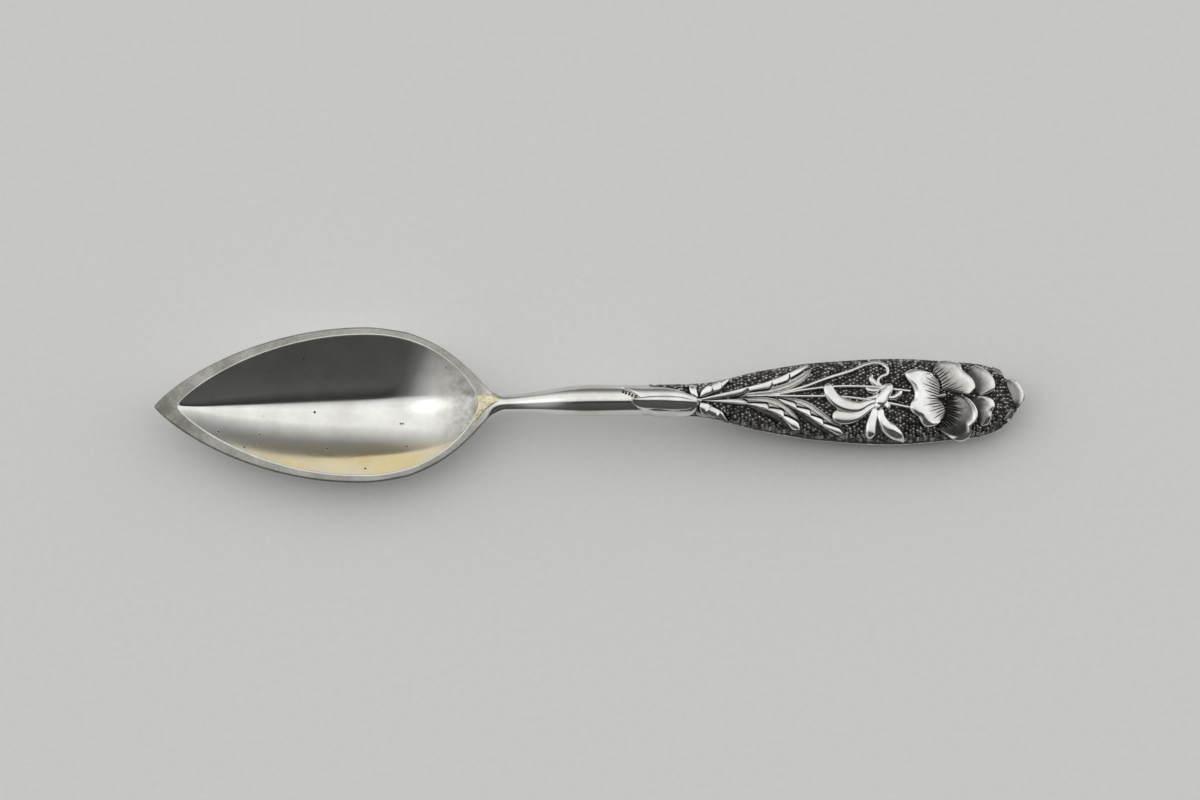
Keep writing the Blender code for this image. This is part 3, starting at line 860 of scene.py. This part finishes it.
def leaf(form, put):
    """A toothed leaf from its root to its tip, with its lobes along the outer edge and its blade inside."""
    rows = 170
    columns = 60
    ends = np.array(form["lobe_ends"])
    widths = np.array(form["lobe_widths"])
    crest = form["crest"]

    def shape(along, across):
        out, aside, sunk = with_skirt(along, across)
        x, y, width = between(form["outer"], form["inner"], out, aside)
        lobe = np.clip(np.searchsorted(ends, out, side="right") - 1, 0, len(widths) - 1)
        way = (out - ends[lobe]) / (ends[lobe + 1] - ends[lobe])
        round_end = np.sqrt(1 - portion(way, LOBE_ROUND_FROM, 1) ** 2)
        border = ease(out, form.get("stripes", NO_STRIPES))
        reach = widths[lobe, 0] + (widths[lobe, 1] - widths[lobe, 0]) * way
        bound = border + np.maximum(reach - border, 0.05) * round_end
        over = np.clip((aside - border) / np.maximum(bound - border, 0.01), 0, 1)
        climb = np.where(over < crest, over / crest, (1 - over) / (1 - crest))
        fall = LOBE_FALL * np.minimum((reach - border) * width / FULL_LOBE, 1)
        raised = form.get("tall", 1) * (LOBE_START + LOBE_RISE * way)
        raised = raised * (1 - fall * (1 - climb) ** LOBE_FALL_CURVE)
        bright = LOBE_WORN[0] + LOBE_WORN[1] * np.clip(way * 2, 0, 1)
        past = (aside - bound) * width
        inside = np.clip(-past / LOBE_WALL, 0, 1)
        inside = inside * inside * (3 - 2 * inside)
        groove = (1 - wave(GROOVE_COUNT * aside)) ** 4
        # Round each lobe's foot a crease is cut in and painted dark: painted shadow of the lobe's edge,
        # with oxide in the crease.
        crease = np.where(past > 0, np.exp(-((past / CREASE_WIDTH - 0.6) ** 2)), 0)
        blade = BLADE_LIFT - GROOVE_DEPTH * groove - CREASE_DEPTH * crease
        oxide_and_shade = form.get("blade_worn", BLADE_WORN) - GROOVE_DARKNESS * groove - CREASE_SHADOW_AND_OXIDE * crease
        # The striped band along the leaf's outer edge is painted dark: painted shade, with oxide between
        # the stripes; their ridges are rubbed lighter.
        stripe = wave(STRIPE_COUNT * aside / np.maximum(border, 0.05))
        striped = np.clip((border - aside) * width / LOBE_WALL, 0, 1)
        lift = blade + (raised - blade) * inside
        lift = lift + (BLADE_LIFT + STRIPE_HEIGHT * stripe - lift) * striped
        lift = lift + form.get("tilt", 0) * (1 - aside) * width
        lift = lift - pillow(np.minimum(aside, 1 - aside) * width, LEAF_EDGE_ROUND, LEAF_EDGE_DROP)
        lightness = oxide_and_shade + (bright - oxide_and_shade) * inside
        lightness = lightness + (STRIPE_SHADE_AND_WEAR[0] + STRIPE_SHADE_AND_WEAR[1] * stripe - lightness) * striped
        lift, marks = down_to_foot(lift, lightness, sunk)
        return put(x, y, lift), marks

    return form_sheet("leaf", rows, columns, shape)


def leaf_parts(put):
    parts = [leaf(form, put) for form in LEAVES]
    parts.append(strand("bud", with_height(BUD, BUD_HEIGHT), put, BUD_CROWN))
    parts.append(strand("knot", KNOT, put, rows=16))
    return parts


strike("leaves", on_handle, leaf_parts)

# Stalks: three thin wire-like stalks that leave the leaves together and carry the flowers. The upper one
# curls over in a hook to the side flower.
STALKS = (
    ((25.6, 0.4, 0.08), (28.6, 0.5, 0.14), (31.2, 0.7, 0.36)),
    (
        (30.7, 0.8, 0.17), (34.6, 1.8, 0.2), (39.3, 3.5, 0.2), (42.9, 4.6, 0.2), (45.6, 5.7, 0.2),
        (47.3, 6.0, 0.22), (48.4, 5.7, 0.22), (49.1, 4.9, 0.23), (49.0, 4.1, 0.23), (47.9, 3.6, 0.22),
        (47.4, 3.0, 0.22), (47.6, 2.3, 0.23), (48.4, 1.8, 0.26),
    ),
    ((30.7, 0.7, 0.17), (34.9, 1.4, 0.18), (40.3, 2.0, 0.18), (45.4, 2.0, 0.18), (52.8, 1.2, 0.18)),
    ((29.0, 0.45, 0.17), (33.8, 0.4, 0.18), (41.8, 0.3, 0.18), (49.3, -0.8, 0.2), (52.6, -1.5, 0.2)),
)
STALK_HEIGHT = 0.45
STALK_WIDEN = 1.25
STALK_CROWN = 3


def stalk_parts(put):
    paths = [with_height(stalk, STALK_HEIGHT, STALK_WIDEN) for stalk in STALKS]
    return [strand("stalk", path, put, STALK_CROWN, rows=80) for path in paths]


strike("stalks", on_handle, stalk_parts)

# Side flower: a flower seen from the side, with two plump curled petals to the left, a knobbed spur with
# small sepals round it, and two petals that hang down. Struck high and polished.
PLUMP_PETALS = (
    (
        (39.0, 2.6, 0.8, 0.75), (39.2, 1.2, 1.06, 0.9), (40.2, -0.2, 1.14, 1.0), (41.9, -1.1, 1.12, 1.0),
        (43.9, -1.3, 0.92, 0.8), (45.8, -0.6, 0.55, 0.6), (47.0, -0.3, 0.4, 0.5),
    ),
    (
        (39.6, -2.6, 1.0, 0.65), (41.5, -3.0, 1.15, 0.75), (43.2, -2.9, 0.95, 0.7),
        (44.6, -2.3, 0.72, 0.55), (46.0, -1.4, 0.5, 0.5), (47.0, -0.9, 0.35, 0.4),
    ),
)
PLUMP_CROWN = 2.4
PLUMP_LEAN = -0.4
HANGING_PETALS = (
    (
        (46.9, -1.4, 0.5, 0.45), (46.4, -3.1, 0.8, 0.75), (46.0, -4.6, 1.02, 1.15),
        (45.95, -5.4, 1.02, 1.35), (46.1, -6.1, 0.8, 1.3),
    ),
    (
        (47.8, -1.5, 0.5, 0.45), (47.8, -3.0, 0.75, 0.75), (48.5, -4.3, 1.05, 1.1), (49.7, -5.1, 1.1, 1.4),
        (50.8, -5.7, 0.8, 1.3), (51.6, -6.5, 0.2, 0.7),
    ),
)
LIP_WEB = (
    (46.6, -2.4), (46.1, -3.7), (46.2, -5.4), (46.8, -5.9), (47.5, -5.6), (48.3, -5.7), (48.6, -4.6),
    (48.1, -3.0), (47.6, -1.9),
)
WEB_MIDDLE = (47.3, -4.0)
WEB_LIFT = ((0, 0.2), (0.8, 0.22), (1, 0.25))
WEB_SHINE = 0.4
SPUR = (
    (49.6, 2.5, 0.7, 0.8), (49.1, 1.5, 0.8, 0.95), (48.4, 0.5, 0.95, 1.0), (47.8, -0.5, 1.1, 1.0),
    (47.3, -1.6, 1.0, 0.8),
)
COLLAR = (
    (46.7, -1.4), (46.8, -0.5), (47.7, 0.1), (48.8, -0.1), (49.1, -1.1), (49.0, -1.8), (48.5, -1.2),
    (48.0, -1.6), (47.5, -1.2), (47.0, -2.0),
)
COLLAR_MIDDLE = (47.9, -0.7)
COLLAR_LIFT = ((0, 1.05), (0.5, 1.0), (0.9, 0.8), (1, 0.55))
SEPALS = (
    ((47.5, 1.4, 0.3), (48.4, 2.0, 0.33), (49.2, 2.4, 0.26)),
    ((46.5, 4.1, 0.13), (46.3, 3.3, 0.36), (46.7, 2.7, 0.4), (47.5, 1.9, 0.28)),
    ((45.2, 2.1, 0.13), (46.0, 1.4, 0.35), (46.8, 1.3, 0.36), (47.6, 1.6, 0.25)),
    ((45.3, 0.1, 0.15), (46.5, 0.1, 0.36), (47.8, 0.8, 0.32)),
    ((51.4, 1.7, 0.13), (50.9, 0.8, 0.35), (50.1, 0.2, 0.36), (49.0, 0.1, 0.25)),
    ((48.3, -0.3, 0.28), (48.9, -1.1, 0.4), (49.2, -1.9, 0.13)),
)
SEPAL_HEIGHT = 0.5
SEPAL_WIDEN = 1.35


def side_flower_parts(put):
    parts = [cushion("lip_web", LIP_WEB, WEB_MIDDLE, WEB_LIFT, put, shine=WEB_SHINE)]
    for path in PLUMP_PETALS:
        parts.append(strand("plump_petal", path, put, PLUMP_CROWN, PLUMP_LEAN, rows=56, columns=40))
    for path in HANGING_PETALS:
        parts.append(strand("hanging_petal", path, put, PLUMP_CROWN, rows=56, columns=40))
    parts.append(cushion("collar", COLLAR, COLLAR_MIDDLE, COLLAR_LIFT, put))
    parts.append(strand("spur", SPUR, put, PLUMP_CROWN, rows=48, columns=40))
    for sepal in SEPALS:
        parts.append(strand("sepal", with_height(sepal, SEPAL_HEIGHT, SEPAL_WIDEN), put))
    return parts


strike("side_flower", on_handle, side_flower_parts)

# Bloom: an open flower seen from the front, with one broad notched petal, two veined petals beside it, two
# plain ones behind them, and a small pointed bead in its throat.
BACK_PETAL = {
    "lifts": ((0, 0.1), (0.35, 0.3), (0.75, 0.7), (1, 0.75)),
    "base": 0.1,
    "oxide_and_shade": (0.75, 0.35, 1.0),
    "columns": 96,
}
BACK_UPPER_PETAL = {
    "throat": ((62.3, 5.0), (61.8, 3.4), (62.3, 1.9), (63.4, 0.6)),
    "edge": (
        (63.0, 5.25), (64.2, 5.3), (65.2, 4.8), (66.2, 3.9), (66.8, 2.8), (66.8, 1.7), (66.0, 0.9),
        (64.6, 0.4),
    ),
    **BACK_PETAL,
}
BACK_LOWER_PETAL = {
    "throat": ((63.0, 0.3), (62.6, -0.8), (62.9, -2.4), (63.6, -3.9)),
    "edge": (
        (64.2, 0.4), (65.5, 0.2), (66.4, -0.3), (66.7, -1.2), (66.2, -2.2), (66.0, -3.3), (65.5, -4.2),
        (64.5, -4.5),
    ),
    **BACK_PETAL,
}
UPPER_PETAL = {
    "throat": (
        (57.1, 5.8), (56.6, 4.8), (57.1, 3.9), (57.6, 2.9), (57.9, 1.4), (58.7, 1.2), (60.1, 0.8),
        (61.4, 0.6),
    ),
    "edge": (
        (57.5, 5.9), (58.9, 6.1), (60.3, 5.9), (61.2, 5.6), (61.6, 4.6), (62.7, 3.7), (63.4, 2.8),
        (63.6, 1.8), (62.8, 0.8), (61.8, 0.6),
    ),
    "lifts": ((0, 0.35), (0.3, 0.4), (0.7, 0.65), (0.9, 0.85), (1, 0.8)),
    "base": 0.15,
    "veins": (17, 0.6),
    "oxide_and_shade": (0.47, 0.3, 1.05),
}
LOWER_PETAL = {
    "throat": ((59.5, 0.1), (58.5, -0.7), (58.6, -2.4), (58.2, -3.7), (57.4, -4.3), (57.2, -4.8)),
    "edge": (
        (60.3, 0.3), (62.0, 0.0), (63.1, -1.0), (63.7, -2.3), (63.6, -3.4), (62.6, -4.5), (62.6, -5.5),
        (61.8, -6.1), (60.1, -6.2), (58.4, -5.5), (57.6, -5.1),
    ),
    "lifts": ((0, 0.4), (0.3, 0.3), (0.76, 0.34), (0.94, 0.75), (1, 0.8)),
    "base": 0.2,
    "veins": (17, 0.6),
    "ridged": True,
    "oxide_and_shade": (0.52, 0.8, 0.93),
    "soft": (0.3, 0.2),
}
BROAD_PETAL = {
    "throat": (
        (57.1, 3.3), (57.7, 2.0), (57.5, 0.7), (57.4, 0.0), (58.0, -0.8), (58.4, -1.8), (58.1, -3.2),
    ),
    "edge": (
        (56.3, 3.9), (55.3, 4.3), (53.9, 4.6), (52.6, 4.6), (51.8, 4.0), (52.1, 3.1), (52.8, 2.2),
        (53.2, 1.2), (53.2, 0.1), (52.6, -0.8), (52.4, -1.5), (52.9, -2.4), (53.8, -3.0), (54.3, -3.9),
        (55.1, -4.5), (56.1, -4.5), (57.3, -4.0),
    ),
    "lifts": ((0, 0.55), (0.12, 0.5), (0.5, 0.7), (0.8, 0.95), (1, 0.9)),
    "base": 0.35,
    "veins": (19, 0.65),
    "waist": 0.25,
    "oxide_and_shade": (0.44, 0.05, 0.9),
}
PETALS = (BACK_UPPER_PETAL, BACK_LOWER_PETAL, UPPER_PETAL, LOWER_PETAL, BROAD_PETAL)
THROAT_BEAD = (
    (56.8, 0.3, 0.13, 0.5), (57.4, 0.3, 0.3, 0.9), (58.2, 0.4, 0.43, 1.1), (58.6, 0.5, 0.38, 1.0),
)
BEAD_BASE = 0.25
NO_VEINS = (0, 0.5)
VEIN_DEPTH = 0.08
VEIN_DARKNESS = 0.7
VEIN_SHARPNESS = 7
RIDGE_SHARPNESS = 5
SHORT_VEIN = 0.72
WAIST_SHARE = 0.13
PETAL_SOFT = (1.3, 0.6)
PETAL_COLUMNS = 252


def petal(form, put):
    """A petal between its edge at the flower's throat and its outer edge. lifts gives its height from the
    one (0) to the other (1); veins are a number of fine lines from the throat, and how far they reach.
    oxide_and_shade says how dark it is at the throat, with oxide and painted shade there, and from where
    to where that fades; soft says how far in and how deep its edge is rounded."""
    rows = 60
    count, end = form.get("veins", NO_VEINS)
    darker, dark_from, dark_to = form["oxide_and_shade"]
    soft = form.get("soft", PETAL_SOFT)
    edges = [np.array(form[edge]) for edge in ("throat", "edge")]
    width = sum(np.linalg.norm(np.diff(edge, axis=0), axis=1).sum() for edge in edges) / 2

    def shape(along, across):
        out, aside, sunk = with_skirt(along, across)
        x, y, reach = between(form["throat"], form["edge"], aside, out)
        from_edge = np.minimum(np.minimum(out, 1 - out) * reach, np.minimum(aside, 1 - aside) * width)
        lines = wave(count * aside) ** VEIN_SHARPNESS * min(count, 1)
        if form.get("ridged"):
            lines = 1 - wave(count * aside) ** RIDGE_SHARPNESS
        length = np.where(np.rint(count * aside) % 2 == 0, 1.0, SHORT_VEIN)
        pressed = lines * ease(out / length, ((0, 1), (0.4 * end, 0.85), (end, 0), (1, 0)))
        lift = form["base"] + ease(out, form["lifts"]) - pillow(from_edge, *soft) - VEIN_DEPTH * pressed
        lift = lift - form.get("waist", 0) * out * np.exp(-(((aside - 0.5) / WAIST_SHARE) ** 2))
        # Darker towards the throat: painted shade there, with the oxide that gathers in it.
        shade = darker * (1 - portion(out, dark_from, dark_to))
        lift, marks = down_to_foot(lift, 1 - VEIN_DARKNESS * pressed - shade, sunk)
        return put(x, y, lift), marks

    return form_sheet("petal", rows, form.get("columns", PETAL_COLUMNS), shape)


def bloom_parts(put):
    parts = [petal(form, put) for form in PETALS]
    parts.append(strand("throat_bead", THROAT_BEAD, put, base=BEAD_BASE, columns=24))
    return parts


strike("bloom", on_handle, bloom_parts)

# Tip lobes: plain polished lobes that scallop the handle's far end, where the two shells close together.
# They are struck in one with the silver shells and rubbed bright.
TIP_LOBE = {
    "lifts": ((0, 0.02), (0.6, 0.14), (0.9, 0.32), (1, 0.3)),
    "base": 0.08,
    "oxide_and_shade": (0.5, 0.6, 1.0),
    "soft": (0.3, 0.14),
    "columns": 96,
}
TIP_LOBE_EDGES = (
    (
        ((68.9, 3.0), (69.0, 1.9), (69.5, 0.5), (70.0, -0.8), (70.3, -1.3)),
        (
            (69.3, 3.2), (70.2, 3.05), (71.0, 2.4), (71.5, 1.5), (71.65, 0.7), (71.5, 0.0), (71.0, -0.9),
            (70.5, -1.4),
        ),
    ),
    (
        ((69.3, -1.7), (68.9, -2.4), (68.3, -3.2)),
        ((69.7, -1.8), (69.8, -2.4), (69.4, -3.2), (68.7, -3.6)),
    ),
    (
        ((66.4, 4.9), (67.4, 4.4), (68.1, 3.7)),
        ((66.6, 5.3), (67.6, 4.85), (68.25, 4.2)),
    ),
)


def tip_lobe_parts(put):
    return [petal({"throat": root, "edge": edge, **TIP_LOBE}, put) for root, edge in TIP_LOBE_EDGES]


strike("tip_lobes", on_handle, tip_lobe_parts)

# Matting: the silver ground is stippled all over with a small ring punch. Each blow leaves a sunk ring with
# a bright dot in its middle; one ring is formed here and then copied over the bare ground and, smaller, in
# a short row at the mouth.
RING_SIDES = 8
RING_RADIUS = 0.34
RING_FOOT = 0.12
RING_LIP = 0.03
RING_STEPS = ((0.05, 0.05), (0.08, -0.12), (0.08, 0.09))
RING_DOT = 0.05
RING_WORN = ((0, 0.85), (0.13, 0.72), (0.21, -0.1), (0.29, 0.68), (0.34, 0.52))
FOOT_WORN = -0.1
RING_PITCH = 0.67
ROW_PITCH = 0.87 * RING_PITCH
RING_CREASE_ANGLE = math.radians(60)
MATTED_FROM_X = 9.8
MATTED_TO_X = 70.0
MATTED_SHARE = 0.96
PUNCH_SEED = 7
PUNCH_STRAY = 0.15
PUNCH_SHINE = (0.5, 1.25)
LOOK_FROM = 3
LOOK_DEPTH = 2.92
MOUTH_MARKS = ((5.3, 2.75), (5.75, 3.0), (6.3, 3.2), (6.75, 3.5), (7.25, 3.7), (7.6, 4.05))
MARK_LIFT = 0.27
MARK_SIZE = 0.6
MARK_SHINE = 0.7
bpy.ops.object.select_all(action="DESELECT")
bpy.ops.mesh.primitive_circle_add(vertices=RING_SIDES, radius=RING_RADIUS * MM, fill_type="NGON")
ring = bpy.context.object
bpy.ops.object.mode_set(mode="EDIT")
bpy.ops.mesh.extrude_region_move(TRANSFORM_OT_translate={"value": (0, 0, (RING_FOOT + RING_LIP) * MM)})
for inward, upward in RING_STEPS:
    bpy.ops.mesh.inset(thickness=inward * MM, depth=upward * MM)
bpy.ops.mesh.poke(offset=RING_DOT * MM)
bpy.ops.mesh.select_all(action="SELECT")
bpy.ops.mesh.normals_make_consistent(inside=False)
bpy.ops.object.mode_set(mode="OBJECT")
ring_points = np.array([tuple(v.co) for v in ring.data.vertices]) / MM
# Sorted, because the extruded sides come in another order on each run.
ring_faces = sorted(tuple(f.vertices) for f in ring.data.polygons)
bpy.data.objects.remove(ring)
ring_points[:, 2] -= RING_FOOT
ring_worn = np.interp(np.hypot(ring_points[:, 0], ring_points[:, 1]), *zip(*RING_WORN))
ring_worn[ring_points[:, 2] < -RING_FOOT / 2] = FOOT_WORN


def lengths_along(line):
    """How far along a line of points each of them lies."""
    return np.concatenate(([0], np.cumsum(np.linalg.norm(np.diff(line, axis=0), axis=1))))


def punch_frames(put, x, y, lift):
    """The foot of each punch mark on a surface, the way it faces, and the way along the handle."""
    step = 0.05
    level = np.full(len(x), lift)
    foot = np.column_stack(put(x, y, level))
    up = np.column_stack(put(x, y, level + 1)) - foot
    up /= np.linalg.norm(up, axis=1)[:, None]
    along = np.column_stack(put(x + step, y, level)) - foot
    return foot, up, along


def bare_ground(face, draw):
    """Punch marks in staggered rows over the ground, where no ornament lies."""
    steps_along = 2000
    steps_across = 200
    put = on_handle(face)
    crest = np.linspace(MATTED_FROM_X, MATTED_TO_X, steps_along)
    flat = np.zeros(len(crest))
    run = lengths_along(np.column_stack(put(crest, flat, flat)))
    places = []
    for row, x in enumerate(np.interp(np.arange(0, run[-1], ROW_PITCH), run, crest)):
        line = np.full(steps_across, x)
        edge = MATTED_SHARE * half_width(line)[0]
        middle = middle_y(line)[0]
        y = middle + np.linspace(-edge, edge, len(line))
        run_across = lengths_along(np.column_stack(put(line, y, np.zeros(len(line)))))
        wanted = np.arange((row % 2) * RING_PITCH / 2, run_across[-1], RING_PITCH)
        stray = draw.uniform(-PUNCH_STRAY, PUNCH_STRAY, (len(wanted), 2))
        for across, (ahead, aside) in zip(np.interp(wanted, run_across, y), stray):
            kept_y = np.clip(across + aside, middle - edge, middle + edge)
            places.append((min(x + ahead, MATTED_TO_X), kept_y))
    foot, up, along = punch_frames(put, *np.array(places).T, 0)
    bpy.context.view_layer.update()
    bare = []
    for start, way in zip(foot, up):
        eye = (start + LOOK_FROM * way) * MM
        hits = [piece.ray_cast(eye, -way, distance=LOOK_DEPTH * MM)[0] for piece in ornaments[face]]
        bare.append(not any(hits))
    return foot[bare], up[bare], along[bare]


for face, side in FACES:
    draw = np.random.default_rng(PUNCH_SEED)
    on_ground = bare_ground(face, draw)
    at_mouth = punch_frames(round_mouth(face), *np.array(MOUTH_MARKS).T, MARK_LIFT)
    foot, up, along = (np.vstack(pair) for pair in zip(on_ground, at_mouth))
    count = len(on_ground[0])
    shine = np.concatenate((draw.uniform(*PUNCH_SHINE, count), np.full(len(MOUTH_MARKS), MARK_SHINE)))
    size = np.concatenate((np.ones(count), np.full(len(MOUTH_MARKS), MARK_SIZE)))
    across = np.cross(up, along)
    across /= np.linalg.norm(across, axis=1)[:, None]
    along = np.cross(across, up)
    axes = np.stack((along, across, up), axis=1) * size[:, None, None]
    points = foot[:, None] + np.einsum("pk,nkc->npc", ring_points, axes)
    faces = [tuple(v + i * len(ring_points) for v in f) for i in range(len(foot)) for f in ring_faces]
    mesh = bpy.data.meshes.new(side + "_matting")
    mesh.from_pydata(points.reshape(-1, 3) * MM, [], faces)
    wear_and_shade = np.where(ring_worn > 0, ring_worn[None] * shine[:, None], ring_worn[None])
    mesh.attributes.new("wear_and_shade", "FLOAT", "POINT").data.foreach_set("value", wear_and_shade.ravel())
    matting = bpy.data.objects.new(side + "_matting", mesh)
    bpy.context.scene.collection.objects.link(matting)
    bpy.ops.object.select_all(action="DESELECT")
    matting.select_set(True)
    bpy.context.view_layer.objects.active = matting
    bpy.ops.object.shade_smooth_by_angle(angle=RING_CREASE_ANGLE)
    matting.data.materials.append(oxidised)
    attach(matting, "root")

# Floor: a wide table top under the spoon, covered with plain pale paper. It lies a hair below the spoon's
# lowest point, so that the two don't share a surface, and it isn't part of the spoon. Sizes are in metres.
FLOOR_SIZE = 8.0
FLOOR_GAP = 0.00002
bpy.ops.object.select_all(action="DESELECT")
bpy.ops.mesh.primitive_plane_add(size=FLOOR_SIZE, location=(0, 0, 0))
floor = bpy.context.object
floor.name = "studio_floor"
bpy.ops.object.mode_set(mode="EDIT")
bpy.ops.mesh.select_all(action="SELECT")
bpy.ops.transform.translate(value=(0, 0, -FLOOR_GAP))
bpy.ops.object.mode_set(mode="OBJECT")
paper, tree, shader, place = start_material("pale_paper")
fibres = noise(tree, place, 900)
pale = ramp(tree, fibres, (0.3, (0.86, 0.855, 0.845)), (0.7, (0.89, 0.885, 0.875)))
tree.links.new(pale, shader.inputs["Base Color"])
shader.inputs["Roughness"].default_value = 0.85
floor.data.materials.append(paper)

# Light and camera: a wide soft light overhead and beyond the spoon, a darker room on the near side that
# gives the silver its dark reflections, a soft glow past the bowl's end, and a camera that looks almost
# straight down. The sky runs from the near side (0) to the far side (1); the view is in metres.
SKY = (
    (0.0, 0.07), (0.22, 0.1), (0.33, 0.04), (0.375, 0.045), (0.41, 0.7), (0.46, 0.95), (0.56, 1.08),
    (0.82, 1.0), (0.9, 0.6), (0.96, 0.25), (1.0, 0.2),
)
BOWL_END_LIGHT = ((0.36, 0.04), (0.54, 0.14), (0.68, 0.42), (0.8, 0.7), (1.0, 0.65))
GLOW_WAY = (-0.735, 0.1, 0.67)
GLOW = ((0.95, 0.0), (0.975, 0.1), (0.99, 0.38), (1.0, 0.5))
world = bpy.data.worlds.new("studio")
world.use_nodes = True
bpy.context.scene.world = world
tree = world.node_tree
way = add_node(tree, "TexCoord").outputs["Generated"]
split = add_node(tree, "SeparateXYZ", {"Vector": way}).outputs
beyond = add_node(tree, "Math", {0: split["Y"], 1: 0.5, 2: 0.5}, operation="MULTIPLY_ADD").outputs["Value"]
past_bowl = ramp(tree, times(tree, split["X"], -1), *BOWL_END_LIGHT)
sky = reckon(tree, "MAXIMUM", ramp(tree, beyond, *SKY), past_bowl)
towards_glow = add_node(tree, "VectorMath", {0: way, 1: GLOW_WAY}, operation="DOT_PRODUCT").outputs["Value"]
glow = ramp(tree, towards_glow, *GLOW)
lit = add_node(tree, "VectorMath", {0: sky, 1: glow}, operation="ADD").outputs["Vector"]
tree.links.new(lit, tree.nodes["Background"].inputs["Color"])
tree.nodes["Background"].inputs["Strength"].default_value = 1.0

ELEVATION = math.radians(82)
ROLL = math.radians(0.64)
LENS = 85.0
SENSOR = 36.0
FRAME_WIDTH = 0.1987
VIEW_CENTRE = (0.00074, 0.00055, 0.006)
distance = FRAME_WIDTH * LENS / SENSOR
bpy.ops.object.camera_add()
camera = bpy.context.object
camera.data.lens = LENS
camera.data.sensor_width = SENSOR
camera.location = (
    VIEW_CENTRE[0],
    VIEW_CENTRE[1] - distance * math.cos(ELEVATION),
    VIEW_CENTRE[2] + distance * math.sin(ELEVATION),
)
camera.rotation_euler = (math.pi / 2 - ELEVATION, 0, -ROLL)
bpy.context.scene.camera = camera
bpy.context.scene.view_settings.view_transform = "Standard"
